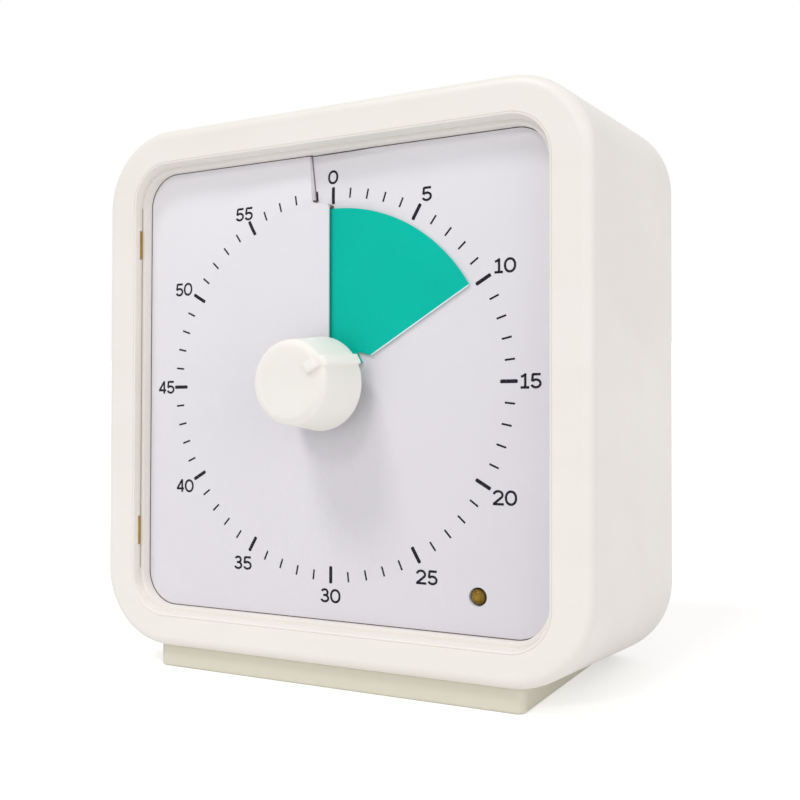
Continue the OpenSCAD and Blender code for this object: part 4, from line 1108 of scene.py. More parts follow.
@dataclass
class Case:
    """Front bezel, rear shell, battery door and foot."""

    half: float = 83.0
    corner: float = 24.0
    front: float = 6.8
    seam: float = 3.4
    seam_rim: float = 0.16
    back: float = -65.2
    wall: float = 2.5
    front_round: float = 3.2
    front_flat: float = 0.3
    back_round: float = 2.4
    back_flat: float = 0.4
    window_half: float = 71.1
    window_corner: float = 12.0
    window_rim: float = 0.4
    rim_line: Pair = (0.14, 0.2)
    rim_line_out: float = 0.7
    rim_low: float = 5.15
    rim_flare: Pair = (0.75, 1.6)
    low_flare: float = 0.8
    ledge: float = 1.3
    wall_corner: float = 15.0
    window_wall: float = 1.4
    plate_level: float = 4.4
    lip_low: float = 0.4
    lip_out: float = 80.3
    lip_in: float = 78.7
    slot_half: float = 4.7
    slot_rise: Pair = (0.25, 1.25)
    boss_at: float = 70.24
    boss_low: float = -10.0
    boss_radius: float = 3.5
    post_radius: float = 4.0
    shank_radius: float = 1.7
    head_radius: float = 3.2
    head_depth: float = -15.0
    ear_at: Pair = (75.3, 33.0)
    ear_low: float = -0.5
    ear_radius: float = 3.0
    sunk: float = 0.2
    sunk_deep: float = 0.4
    past: float = 1.0
    bay_half: Pair = (28.25, 14.95)
    bay_wall: float = 1.6
    bay_floor: float = -48.1
    contact_slot: Pair = (27.55, 28.45)
    contact_y: float = 7.4
    contact_half: float = 2.2
    door_recess: Pair = (30.45, 17.15)
    door_gap: float = 0.2
    door_depth: float = 1.2
    tongue_radius: float = 4.6
    door_screw_y: float = -24.45
    door_post: Pair = (-55.0, 3.4)
    door_pilot: Pair = (-55.5, 1.35)
    board_at: Pair = (28.0, 36.0)
    stand_at: Pair = (24.0, 12.0)
    stand: Pair = (-55.2, 2.75)
    switch_window: Pair = (5.1, 1.9)
    switch_dish: tuple[float, float, float] = (8.7, 4.5, 4.0)
    buzzer_at: Pair = (-38.0, 36.0)
    buzzer_ring: Pair = (12.2, 13.6)
    buzzer_top: float = -58.2
    grille_hole: float = 1.1
    grille_ring: float = 5.0
    foot_half: float = 62.5
    foot_front: float = 3.4
    foot_rear: float = -59.32
    foot_drop: float = 7.0
    foot_corner: float = 2.5
    foot_rim: float = 0.9
    plug_x: float = 45.3
    plug_levels: Pair = (-10.6, -45.6)
    plug_radius: float = 3.0
    plug_head: float = 4.0

    def _case_ring(self, half: float, level: float, rim: float = 0.0, rim_steps: int = 3) -> Ring:
        """Outline that runs at an even distance from the outline of the case.

        Args:
            half: Half of its width.
            level: Its level.
            rim: Rounding of its edge.
            rim_steps: Number of faces in the rounding.

        Returns:
            The outline.
        """
        return square_ring(half, self.corner - self.half + half, level, rim, rim_steps)

    def bezel(self) -> None:
        """Front frame with its rounded rim, the window wall and the ledge under the lens."""
        out, win = self.half, self.window_half
        in_front = out - self.front_round - self.front_flat
        ledge_half, ledge_corner = win - self.ledge, self.window_corner - self.ledge
        wall_half = win + self.window_wall
        line, depth = self.rim_line
        at = win + self.rim_line_out
        solid = Solid()
        solid.loft([
            self._case_ring(out, self.seam, self.seam_rim, 2),
            self._case_ring(out, self.front, self.front_round, 10),
            self._case_ring(in_front, self.front),
            square_ring(at + line, self.window_corner + at + line - win, self.front),
            square_ring(at, self.window_corner + at - win, self.front - depth),
            square_ring(at - line, self.window_corner + at - line - win, self.front),
            square_ring(win, self.window_corner, self.front, self.window_rim, 4),
            square_ring(win, self.window_corner, self.rim_low),
            square_ring(win, self.window_corner, self.seam),
            square_ring(ledge_half, ledge_corner, self.seam, 0.12, 2),
            square_ring(ledge_half, ledge_corner, 0.0, 0.1, 1),
            square_ring(wall_half, self.wall_corner, 0.0),
            square_ring(wall_half, self.wall_corner, self.plate_level),
            self._case_ring(self.lip_in, self.plate_level),
            self._case_ring(self.lip_in, self.lip_low),
            self._case_ring(self.lip_out, self.lip_low),
            self._case_ring(self.lip_out, self.seam),
        ], closed=True)
        self._flare(solid, at + line)
        piece = solid.made("front_frame")
        slots, bosses = Solid(), Solid()
        reach = self.window_wall + self.sunk_deep
        low, high = (self.seam + rise for rise in self.slot_rise)
        top = self.plate_level + self.sunk
        for sx, sy in CORNERS:
            middle = sx * (win + self.window_wall / 2)
            slots.box((middle - reach / 2, sy * TAB_Y - self.slot_half, low),
                      (middle + reach / 2, sy * TAB_Y + self.slot_half, high))
            bosses.rod((sx * self.boss_at, sy * self.boss_at), self.boss_low, top, self.boss_radius)
            bosses.rod((sx * self.ear_at[0], sy * self.ear_at[1]), self.ear_low, top, self.ear_radius)
        cut(piece, slots, Cut.TAKE_AWAY)
        cut(piece, bosses, Cut.ADD)
        fit(piece, WHITE_SHELL, "case", ["front_bezel"])

    def _flare(self, solid: Solid, reach: float) -> None:
        """Opens the window a little more at the top and the bottom, most at its front.

        Args:
            solid: The front frame.
            reach: Half the size of the outline up to which it is opened.
        """
        for vert in solid.bm.verts:
            x, y, z = vert.co
            if max(abs(x), abs(y)) > reach + 0.05 or (z < self.rim_low and y > 0):
                continue
            upper, lower = self.rim_flare
            if z > self.rim_low + 0.2:
                vert.co.y *= 1 + (upper if y > 0 else lower) / self.window_half
            elif y < 0:
                vert.co.y *= 1 + self.low_flare / self.window_half

    def shell(self) -> None:
        """Rear shell with its battery bay, screw bores, switch slot and sound grille."""
        out, inner = self.half, self.half - self.wall
        near_back = out - self.back_round - self.back_flat
        back_wall = self.back + self.wall
        solid = Solid()
        solid.loft([
            self._case_ring(near_back, self.back),
            self._case_ring(out, self.back, self.back_round, 8),
            self._case_ring(out, self.back + self.back_round + self.back_flat),
            self._case_ring(out, self.seam - 0.5),
            self._case_ring(out, self.seam, self.seam_rim, 2),
            self._case_ring(inner, self.seam),
            self._case_ring(inner, back_wall),
        ])
        piece = solid.made("back_shell")
        cut(piece, self._inner_posts(back_wall - self.sunk_deep), Cut.ADD)
        post = Solid()
        post_top, post_radius = self.door_post
        post.rod((0.0, self.door_screw_y), back_wall - self.sunk_deep, post_top, post_radius)
        cut(piece, post, Cut.ADD)
        cut(piece, self._wide_openings(), Cut.TAKE_AWAY)
        cut(piece, self._fine_openings(), Cut.TAKE_AWAY)
        recess = self._door_lobe(0.0, self.back - self.past, self.back + self.door_depth)
        cut(piece, recess, Cut.TAKE_AWAY)
        fit(piece, WHITE_SHELL, "case", ["rear_shell"])

    def _inner_posts(self, low: float) -> Solid:
        """Bay block, screw posts, board stands and the ring round the buzzer, none touching.

        Args:
            low: Level of their lower ends, inside the back wall.

        Returns:
            The solids to add.
        """
        added = Solid()
        wide, high = (half + self.bay_wall for half in self.bay_half)
        added.box((-wide, BAY_Y - high, low), (wide, BAY_Y + high, self.bay_floor + self.bay_wall))
        stand_top, stand_radius = self.stand
        for sx, sy in CORNERS:
            added.rod((sx * self.boss_at, sy * self.boss_at), low, self.boss_low, self.post_radius)
            at = (self.board_at[0] + sx * self.stand_at[0], self.board_at[1] + sy * self.stand_at[1])
            added.rod(at, low, stand_top, stand_radius, 32)
        inner, outer = self.buzzer_ring
        added.turned([(inner, low), (outer, low), (outer, self.buzzer_top), (inner, self.buzzer_top),
                      (inner, low)], 64, self.buzzer_at)
        return added

    def _wide_openings(self) -> Solid:
        """Head bores, the bay, the switch slot, the grille and the holes for the foot's plugs.

        Returns:
            What they take away.
        """
        tools = Solid()
        outside, inside = self.back - self.past, self.back + self.wall + self.past
        for sx, sy in CORNERS:
            tools.rod((sx * self.boss_at, sy * self.boss_at), outside, self.head_depth, self.head_radius)
        pilot_top, pilot_radius = self.door_pilot
        tools.rod((0.0, self.door_screw_y), outside, pilot_top, pilot_radius, 24)
        wide, high = self.bay_half
        tools.box((-wide, BAY_Y - high, outside), (wide, BAY_Y + high, self.bay_floor))
        x, y = self.board_at
        wide, high = self.switch_window
        tools.box((x - wide, y - high, outside), (x + wide, y + high, inside))
        tools.rod(self.buzzer_at, outside, inside, self.grille_hole, 24)
        for turn in range(6):
            across, up = on_dial(self.grille_ring, 90 + 60 * turn)
            at = (self.buzzer_at[0] + across, self.buzzer_at[1] + up)
            tools.rod(at, outside, inside, self.grille_hole, 24)
        for side in (-1, 1):
            for level in self.plug_levels:
                plug = tools.rod((0.0, 0.0), -2.0, 2.0, self.plug_radius + 0.05, 40)
                turn = Matrix.Rotation(math.radians(90), 4, "X")
                at = Matrix.Translation((side * self.plug_x, -self.half + self.wall / 2 - 0.05, level))
                tools.move(at @ turn, plug)
        return tools

    def _fine_openings(self) -> Solid:
        """Shank bores, the door's recess, the switch dish and the slots for the contacts' tabs.

        Returns:
            What they take away.
        """
        tools = Solid()
        outside = self.back - self.past
        for sx, sy in CORNERS:
            tools.rod((sx * self.boss_at, sy * self.boss_at), self.head_depth - 1, self.boss_low + 1,
                      self.shank_radius, 32)
        recess = [Ring(*self.door_recess, 2.2, level) for level in (outside, self.back + self.door_depth)]
        tools.loft(recess)
        tools.move(Matrix.Translation((0.0, BAY_Y, 0.0)), [v for v in tools.bm.verts if v.co.z < -17])
        dish = set(tools.bm.verts)
        tools.loft([Ring(*self.switch_dish, level) for level in (outside, self.back + 1.0)])
        tools.move(Matrix.Translation((*self.board_at, 0.0)), [v for v in tools.bm.verts if v not in dish])
        near, far = self.contact_slot
        for side in (-1, 1):
            middle = BAY_Y + side * self.contact_y
            tools.box((near, middle - self.contact_half, self.bay_floor - self.past),
                      (far, middle + self.contact_half, self.bay_floor + self.bay_wall + self.past))
        return tools

    def _door_lobe(self, grow: float, low: float, high: float) -> Solid:
        """The round-ended tongue of the battery door, where its screw sits.

        Args:
            grow: How far the outline is moved outwards.
            low: Lower level.
            high: Upper level.

        Returns:
            The solid.
        """
        lobe = Solid()
        top = self.door_screw_y + self.tongue_radius
        half = (top - BAY_Y) / 2 + grow
        radius = self.tongue_radius + grow
        lobe.loft([Ring(radius, half, radius - 0.01, level) for level in (low, high)])
        lobe.move(Matrix.Translation((0.0, (top + BAY_Y) / 2, 0.0)))
        return lobe

    def door(self) -> None:
        """Battery door with its tongue, softened edges, thumb grooves and screw hole."""
        solid = Solid()
        outer, inner = self.back, self.back + self.door_depth
        wide, high = (half - self.door_gap for half in self.door_recess)
        solid.loft([
            Ring(wide - 0.6, high - 0.6, 1.4, outer),
            Ring(wide, high, 2.0, outer, 0.3, 3),
            Ring(wide, high, 2.0, outer + 0.6),
            Ring(wide, high, 2.0, inner),
        ])
        solid.move(Matrix.Translation((0.0, BAY_Y, 0.0)))
        piece = solid.made("bay_door")
        cut(piece, self._door_lobe(-self.door_gap, outer, inner), Cut.ADD)
        plug = Solid()
        wide, high = (half - 0.4 for half in self.bay_half)
        plug.box((-wide, BAY_Y - high, outer + 1.0), (wide, BAY_Y + high, outer + 2.0))
        cut(piece, plug, Cut.ADD)
        tools = Solid()
        tools.rod((0.0, self.door_screw_y), outer - self.past, outer + 0.9, 2.6)
        for row in range(-2, 3):
            tools.box((-11.3, BAY_Y + 4 * row - 0.6, outer - self.past),
                      (11.3, BAY_Y + 4 * row + 0.6, outer + 0.5))
        cut(piece, tools, Cut.TAKE_AWAY)
        hole = Solid()
        hole.rod((0.0, self.door_screw_y), outer - self.past, outer + 2, 1.5, 32)
        cut(piece, hole, Cut.TAKE_AWAY)
        fit(piece, WHITE_SHELL, "door", ["battery_door"])

    def foot(self) -> None:
        """Soft wedge whose underside lies on the floor, with four plugs into the case."""
        solid = Solid()
        half_depth = (self.foot_front - self.foot_rear) / 2
        solid.loft([Ring(self.foot_half, half_depth, self.foot_corner, level) for level in (0.0, 10.0)])
        upright = Matrix.Rotation(math.radians(90), 4, "X")
        middle = (0.0, -self.half, (self.foot_front + self.foot_rear) / 2)
        solid.move(Matrix.Translation(middle) @ upright)
        floor_up = STAND.turn.inverted() @ Vector((0.0, 0.0, 1.0))
        all_parts = solid.bm.verts[:] + solid.bm.edges[:] + solid.bm.faces[:]
        made = bmesh.ops.bisect_plane(
            solid.bm, geom=all_parts, plane_co=(0.0, -self.half - self.foot_drop, self.foot_front),
            plane_no=-floor_up, clear_outer=True)
        rim = [part for part in made["geom_cut"] if isinstance(part, Edge)]
        bmesh.ops.contextual_create(solid.bm, geom=rim)
        solid.round_edges(rim, self.foot_rim, 5)
        inwards = Matrix.Rotation(math.radians(-90), 4, "X")
        for side in (-1, 1):
            for level in self.plug_levels:
                stem = solid.rod((0.0, 0.0), -0.6, self.wall, self.plug_radius, 40)
                head = solid.rod((0.0, 0.0), self.wall, self.wall + 1.6, self.plug_head, 40,
                                 self.plug_radius)
                at = Matrix.Translation((side * self.plug_x, -self.half, level))
                solid.move(at @ inwards, stem + head)
        fit(solid.made("wedge_foot"), FOOT_RUBBER, "case", ["foot"])

    def build(self) -> None:
        """Makes the four pieces."""
        self.bezel()
        self.shell()
        self.door()
        self.foot()


# ---------------------------------------------------------------- window and dial


@dataclass
class Window:
    """Clear flat window with its four tabs and the hole for the spindle."""

    half: float = 70.9
    corner: float = 11.8
    low: float = 3.44
    high: float = 5.0
    hole: float = 4.6
    tab_half: float = 4.45
    tab_low: float = 3.72
    tab_high: float = 4.58
    tab_root: float = 1.0
    # width, thickness and place of the painted shade in the side grooves
    bead: float = 0.2
    bead_depth: float = 0.14
    bead_out: float = 0.06
    tab_end: float = 72.1

    def build(self) -> None:
        """Makes the window, paints the tabs' ends with the painted shade of the slots and draws painted
        shade in the grooves at its sides.
        """
        solid = Solid()
        solid.loft([
            square_ring(self.half, self.corner, self.low, 0.1, 1),
            square_ring(self.half, self.corner, self.high, 0.15, 2),
        ])
        piece = solid.made("clear_window")
        tabs = Solid()
        for sx, sy in CORNERS:
            near, far = sorted((sx * (self.half - self.tab_root), sx * self.tab_end))
            tabs.box((near, sy * TAB_Y - self.tab_half, self.tab_low),
                     (far, sy * TAB_Y + self.tab_half, self.tab_high))
        cut(piece, tabs, Cut.ADD)
        hole = Solid()
        hole.rod((0.0, 0.0), self.low - 1, self.high + 1, self.hole, 64)
        cut(piece, hole, Cut.TAKE_AWAY)
        fit(piece, WINDOW_SHEET, "case", ["lens"])
        # painted shade: the tabs' ends take the colour of the shaded slots
        piece.data.materials.append(PAINTED_SLOT_SHADE.material())
        limit = (self.half + 0.1) / 1000
        for face in piece.data.polygons:
            if abs(face.center.x) > limit:
                face.material_index = 1
        # painted shade: a thin dark strip in the groove between the window and the frame at each side
        joint = Solid()
        reach = self.half - self.corner
        for across in (-self.half - self.bead_out, self.half + self.bead_out):
            joint.pen_line([(across, -reach), (across, reach)], self.bead, self.bead_depth,
                           Matrix.Translation((0.0, 0.0, self.low)))
        fit(joint.made("window_joint_shade"), PAINTED_GROOVE_SHADE, "case")


@dataclass
class Surface:
    """Shape of the dial card: lifted on the left of the slit and lowered on its right."""

    half: float = 72.0
    corner: float = 15.5
    rise: float = 1.65
    rise_from: float = 250.0
    rise_radii: Pair = (56.5, 69.6)
    drop: float = 0.95
    deeper: float = 0.3
    drop_to: float = 36.0
    drop_radii: Pair = (69.9, 71.4)
    jog_from: float = 53.6
    jog_to: float = 55.7
    jog: float = 5.9
    drift: float = 1.9
    steady_from: float = 70.0

    @staticmethod
    def ease(share: float) -> float:
        """Smooth step from 0 to 1."""
        held = min(max(share, 0.0), 1.0)
        return held * held * (3 - 2 * held)

    def slit_turn(self, radius: float) -> float:
        """Angle by which the slit lies to the left.

        Args:
            radius: Distance from the dial's centre.

        Returns:
            The angle in degrees.
        """
        if radius <= self.jog_from:
            return 0.0
        held = min(radius, self.steady_from)
        across = self.jog * self.ease((held - self.jog_from) / (self.jog_to - self.jog_from))
        across += self.drift * max(held - self.jog_to, 0.0) / (self.steady_from - self.jog_to)
        return math.degrees(math.asin(across / held))

    def raised(self, radius: float) -> float:
        """Height of the card just left of the slit."""
        start, end = self.rise_radii
        return self.rise * min(max((end - radius) / (end - start), 0.0), 1.0)

    def lowered(self, radius: float) -> float:
        """Depth of the card just right of the slit.

        Args:
            radius: Distance from the dial's centre.

        Returns:
            The depth in millimetres.
        """
        start, end = self.drop_radii
        depth = self.drop + self.deeper * self.ease((radius - self.jog_to) / (start - self.jog_to))
        return depth * (1 - self.ease((radius - start) / (end - start)))

    def height(self, radius: float, turn: float) -> float:
        """Height of the card.

        Args:
            radius: Distance from the dial's centre.
            turn: Clock angle in degrees, counted from the slit.

        Returns:
            The height in millimetres.
        """
        if turn < self.drop_to:
            return -self.lowered(radius) * (1 - turn / self.drop_to) ** 1.2
        if turn > self.rise_from:
            return self.raised(radius) * ((turn - self.rise_from) / (360 - self.rise_from)) ** 1.2
        return 0.0

    def height_at(self, x: float, y: float) -> float:
        """Height of the card at a point.

        Args:
            x: Place to the right of the centre.
            y: Place above the centre.

        Returns:
            The height in millimetres.
        """
        radius = math.hypot(x, y)
        turn = (math.degrees(math.atan2(x, y)) + self.slit_turn(radius)) % 360
        return self.height(radius, turn)

    def edge(self, angle: float) -> float:
        """Distance from the centre to the card's edge.

        Args:
            angle: Clock angle in degrees.

        Returns:
            The distance in millimetres.
        """
        s, c = (abs(v) for v in on_dial(1.0, angle))
        straight = min(self.half / max(s, 0.01), self.half / max(c, 0.01))
        mid = self.half - self.corner
        if straight * s <= mid or straight * c <= mid:
            return straight
        along = mid * (s + c)
        return along + math.sqrt(max(along * along - 2 * mid * mid + self.corner ** 2, 0.0))


@dataclass(frozen=True)
class Figure:
    """A printed figure: its width and the middle lines of its pen strokes."""

    width: float
    strokes: tuple[list[Pair], ...]


FIGURES: dict[str, Figure] = {
    "0": Figure(3.55, (arc((1.775, 2.08), (1.47, 1.77), 0, 360, 52, 0.94),)),
    "1": Figure(2.5, ([(0.15, 3.2), (1.5, 3.8)], [(1.36, 4.14), (1.36, 0.3)], [(0.0, 0.3), (2.5, 0.3)])),
    "2": Figure(3.3, (arc((1.62, 2.82), (1.28, 1.03), 172, -38, 26) + [(0.42, 0.42)],
                      [(0.06, 0.3), (3.3, 0.3)])),
    "3": Figure(3.1, (arc((1.5, 3.0), (1.02, 0.85), 160, -90, 26),
                      arc((1.5, 1.22), (1.24, 0.93), 90, -162, 30), [(1.0, 2.15), (1.55, 2.15)])),
    "4": Figure(3.1, ([(2.32, 0.0), (2.32, 4.14)], [(2.25, 3.86), (0.3, 1.14)], [(0.1, 1.12), (3.1, 1.12)])),
    "5": Figure(3.2, ([(2.95, 3.85), (0.66, 3.85)], [(0.72, 4.0), (0.52, 1.95)],
                      arc((1.6, 1.35), (1.3, 1.05), 146, -160, 34))),
}


@dataclass
class DialFace:
    """Dial card with its slit, the printed ticks and the numerals."""

    surface: Surface = field(default_factory=Surface)
    thickness: float = 0.5
    hole: float = 8.0
    lamp_hole: float = 2.7
    slit_half: float = 0.16
    skirt: float = 1.2
    steps: int = 358
    ring: float = 56.9
    long_tick: Pair = (1.06, 5.16)
    short_tick: Pair = (0.54, 3.0)
    short_ring: float = 57.5
    last_shift: float = 0.3
    print_low: float = -0.02
    print_high: float = 0.04
    pen: float = 0.68
    gap_radii: tuple[Pair, ...] = ((53.05, 54.3), (55.15, 56.3))
    border_half: float = 69.72
    border_corner: float = 10.65
    border_low: float = 70.5
    border_pen: float = 0.36
    figure_gap: float = 0.32
    figure_height: float = 4.15
    numeral_at: dict[int, Pair] = field(default_factory=lambda: {
        0: (-0.15, 62.5), 5: (31.7, 54.15), 10: (55.8, 31.95), 15: (63.3, 0.0), 20: (55.7, -32.0),
        25: (31.9, -55.4), 30: (-0.1, -63.15), 35: (-32.2, -55.35), 40: (-55.3, -31.95),
        45: (-63.1, 0.0), 50: (-56.0, 31.7), 55: (-31.85, 54.0)})

    def card(self) -> None:
        """The card: a line of points swept round the dial from one side of the slit to the other."""
        radii = [self.hole, 12, 17, 23, 29, 35, 41, 46, 50, 52, 53.1, 53.6, 53.9, 54.2, 54.5, 54.7, 54.9,
                 55.1, 55.3, 55.5, 55.7, 56.1, 56.5, 57.2, *range(58, 70), 69.9, 70.4, 70.9, 71.4,
                 BEYOND_CARD]
        solid = Solid()
        start = [solid.bm.verts.new((*on_dial(r, self.slit_half), 0.0)) for r in radii]
        line = [solid.bm.edges.new(pair) for pair in zip(start, start[1:])]
        bmesh.ops.spin(solid.bm, geom=start + line, cent=(0, 0, 0), axis=(0, 0, -1),
                       angle=math.radians(360 - 2 * self.slit_half), steps=self.steps)
        skirt = {}
        for vert in solid.bm.verts:
            radius = math.hypot(vert.co.x, vert.co.y)
            turn = math.degrees(math.atan2(vert.co.x, vert.co.y)) % 360
            angle = turn - self.surface.slit_turn(radius)
            if radius > self.surface.half:
                radius = self.surface.edge(angle)
            vert.co = Vector((*on_dial(radius, angle), self.surface.height(radius, turn)))
            if turn > 360 - self.skirt and radius > self.surface.jog_from:
                skirt[tuple(round(c, 4) for c in vert.co)] = self.surface.lowered(radius)
        solid.face_upwards()
        for vert in solid.thicken(solid.bm.faces[:], (0, 0, 0)):
            depth = skirt.get(tuple(round(c, 4) for c in vert.co))
            vert.co.z -= self.thickness
            if depth is not None:
                vert.co.z = min(vert.co.z, -depth)
        piece = solid.made("dial_face")
        hole = Solid()
        hole.rod(LAMP_AT, -3.0, 3.0, self.lamp_hole, 48)
        cut(piece, hole, Cut.TAKE_AWAY)
        fit(piece, DIAL_BOARD, "case", ["dial_card"], 50.0)

    def _lay(self, solid: Solid) -> None:
        """Drops a flat print onto the card's surface."""
        for vert in solid.bm.verts:
            vert.co.z += self.surface.height_at(vert.co.x, vert.co.y)

    def ticks(self) -> None:
        """Sixty ticks, with the twelve long ones rounded at their ends."""
        solid = Solid()
        for minute in range(60):
            long = minute % 5 == 0
            wide, tall = self.long_tick if long else self.short_tick
            radius = self.ring if long else self.short_ring
            mark = bmesh.ops.create_grid(solid.bm, x_segments=1, y_segments=12, size=0.5,
                                         matrix=Matrix.Diagonal((wide, tall, 1.0, 1.0)))
            verts = mark["verts"]
            if long:
                known = set(solid.bm.verts) - set(verts)
                corners = [v for v in verts if len(v.link_edges) == 2]
                bmesh.ops.bevel(solid.bm, geom=corners, offset=wide * 0.32, affect="VERTICES",
                                segments=3, profile=0.5, material=-1)
                verts = [v for v in solid.bm.verts if v not in known]
            faces = list({f for v in verts for f in v.link_faces})
            upper = solid.thicken(faces, (0, 0, self.print_high - self.print_low))
            angle = 6 * minute + (self.last_shift if minute == 59 else 0.0)
            turn = Matrix.Rotation(math.radians(-angle), 4, "Z")
            solid.move(turn @ Matrix.Translation((0.0, radius, self.print_low)), verts + upper)
        self._lay(solid)
        fit(solid.made("dial_ticks"), DIAL_INK, "case")

    def numerals(self) -> None:
        """The minutes in steps of five, upright, round the outside of the ticks."""
        solid = Solid()
        for minute, (across, up) in self.numeral_at.items():
            figures = [FIGURES[digit] for digit in str(minute)]
            whole = sum(f.width for f in figures) + self.figure_gap * (len(figures) - 1)
            left = across - whole / 2
            for figure in figures:
                place = Matrix.Translation((left, up - self.figure_height / 2, self.print_low))
                for line in figure.strokes:
                    solid.pen_line(line, self.pen, self.print_high - self.print_low, place)
                left += figure.width + self.figure_gap
        self._lay(solid)
        fit(solid.made("dial_numerals"), DIAL_INK, "case")

    def border(self) -> None:
        """Thin dark line round the card, where it goes under the ledge: painted shade of the gap there."""
        solid = Solid()
        place = Matrix.Translation((0.0, 0.0, self.print_low))
        solid.pen_line(square_path(self.border_half, self.border_corner), self.border_pen,
                       self.print_high - self.print_low, place)
        for vert in solid.bm.verts:
            if vert.co.y < 0:
                vert.co.y *= self.border_low / self.border_half
        self._lay(solid)
        # painted shade in the gap under the ledge
        fit(solid.made("dial_edge_shade"), PAINTED_GAP_SHADE, "case")

    def slit_gap(self) -> None:
        """Painted shade of the gap at both bends of the slit."""
        solid = Solid()
        place = Matrix.Translation((0.0, 0.0, self.print_low))
        for low, high in self.gap_radii:
            radii = [low + (high - low) * step / 8 for step in range(9)]
            line = [on_dial(r, -self.surface.slit_turn(r) - 0.1) for r in radii]
            solid.pen_line(line, 0.26, self.print_high - self.print_low, place)
        self._lay(solid)
        # painted shade: dark lines where the slit's gap is in shade
        fit(solid.made("slit_gap"), PAINTED_GAP_SHADE, "case")

    def build(self) -> None:
        """Makes the card and its print."""
        self.card()
        self.ticks()
        self.numerals()
        self.border()
        self.slit_gap()


# ---------------------------------------------------------------- disc, knob and lamp


@dataclass
class Disc:
    """One turn of coloured film that climbs through the slit as it is set."""

    radius: float = 52.8
    hub: float = 6.0
    thickness: float = 0.25
    pitch: float = 3.0
    lift: float = 0.05
    span: float = 356.0
    shown: float = 59.0
    edge_pen: float = 0.34
    notch: tuple[float, float, float] = (12.8, 13.3, 16.2)
    steps: int = 178

    def build(self) -> None:
        """Sweeps a line of points back round the spindle, going down, and gives it a thickness."""
        solid = Solid()
        top = self.lift + self.pitch * self.shown / 360 + self.thickness / 2
        radii = (self.hub, 12.0, 20.0, 30.0, 40.0, 50.0, self.radius)
        start = [solid.bm.verts.new((*on_dial(r, self.shown), top)) for r in radii]
        line = [solid.bm.edges.new(pair) for pair in zip(start, start[1:])]
        fall = self.pitch * self.span / 360 / self.steps
        bmesh.ops.spin(solid.bm, geom=start + line, cent=(0, 0, 0), axis=(0, 0, 1),
                       dvec=(0, 0, -fall), angle=math.radians(self.span), steps=self.steps)
        solid.face_upwards()
        solid.thicken(solid.bm.faces[:], (0, 0, -self.thickness))
        piece = solid.made("teal_disc")
        cut(piece, self._notch(top), Cut.TAKE_AWAY)
        fit(piece, TEAL_FILM, "disc", ["colour_disc"], 50.0)
        # pale strip along the leading edge: the film's cut edge, widened, with a painted highlight
        edge = Solid()
        line = [on_dial(r, self.shown) for r in (self.notch[2] + 0.1, self.radius - 0.1)]
        edge.pen_line(line, self.edge_pen, self.thickness + 0.01,
                      Matrix.Translation((0.0, 0.0, top - self.thickness)))
        fit(edge.made("disc_cut_edge_highlight"), LIT_FILM_EDGE, "disc")

    def _notch(self, top: float) -> Solid:
        """Small wedge beside the knob at the leading edge.

        Args:
            top: Level of the disc's upper side at that edge.

        Returns:
            The wedge.
        """
        wedge = Solid()
        inner, apex, outer = self.notch
        corners = (on_dial(inner, self.shown + 3), on_dial(apex, self.shown - 15),
                   on_dial(outer, self.shown), on_dial(outer, self.shown + 3))
        verts = [wedge.bm.verts.new((x, y, top - 0.6)) for x, y in corners]
        face = wedge.bm.faces.new(verts)
        wedge.thicken([face], (0, 0, 1.0))
        return wedge


@dataclass
class SettingKnob:
    """Tapered hollow knob with a ridge that points at the disc's leading edge."""

    base: float = 14.0
    tip: float = 12.0
    low: float = 6.0
    high: float = 24.2
    tip_round: float = 2.2
    base_round: float = 0.35
    wall: float = 2.0
    bore: float = 3.02
    hub_wall: float = 1.98
    bore_top: float = 21.2
    ridge_w: float = 3.2
    ridge_h: float = 1.1
    ridge_from: float = 6.2
    ridge_round: float = 0.5
    points_at: float = 61.0

    def build(self) -> None:
        """Turns the knob's section and sets the ridge across its front and down its side."""
        solid = Solid()
        ceiling_r = self.base + (self.tip - self.base) * (self.bore_top - self.low) / (self.high - self.low)
        hub = self.bore + self.hub_wall
        solid.turned([
            (0.0, self.bore_top), (self.bore, self.bore_top), (self.bore, self.low), (hub, self.low),
            (hub, self.bore_top), (ceiling_r - self.wall, self.bore_top),
            (self.base - self.wall, self.low), (self.base, self.low), (self.tip, self.high),
            (self.tip - self.tip_round - 0.3, self.high), (2.0, self.high), (0.0, self.high)], 112)
        rim = solid.edges_where(
            lambda p: abs(p.z - self.high) < 0.01 and abs(math.hypot(p.x, p.y) - self.tip) < 0.05)
        solid.round_edges(rim, self.tip_round, 9)
        foot = solid.edges_where(
            lambda p: abs(p.z - self.low) < 0.01 and abs(math.hypot(p.x, p.y) - self.base) < 0.05)
        solid.round_edges(foot, self.base_round, 3)
        piece = solid.made("setting_knob_cap")
        cut(piece, self._ridge(), Cut.ADD)
        fit(piece, KNOB_PLASTIC, "setting_knob", ["knob"], 32.0)

    def _ridge(self) -> Solid:
        """The pointer ridge, drawn from the side and given its width and soft edges.

        Returns:
            The ridge.
        """
        ridge = Solid()
        top = self.high + self.ridge_h
        section = [
            (self.ridge_from, self.high - 1.0), (self.ridge_from + 1.0, top),
            (self.tip - self.tip_round / 2, top), (self.tip + self.ridge_h, self.high - self.tip_round),
            (self.base + self.ridge_h, self.low), (self.base - 1.0, self.low),
            (self.tip - self.wall, self.high - self.wall)]
        verts = [ridge.bm.verts.new((r, -self.ridge_w / 2, z)) for r, z in section]
        face = ridge.bm.faces.new(verts)
        ridge.thicken([face], (0, self.ridge_w, 0))
        ridge.heal()
        ridge.round_edges(ridge.bm.edges[:], self.ridge_round, 4)
        ridge.move(Matrix.Rotation(math.radians(90 - self.points_at), 4, "Z"))
        return ridge


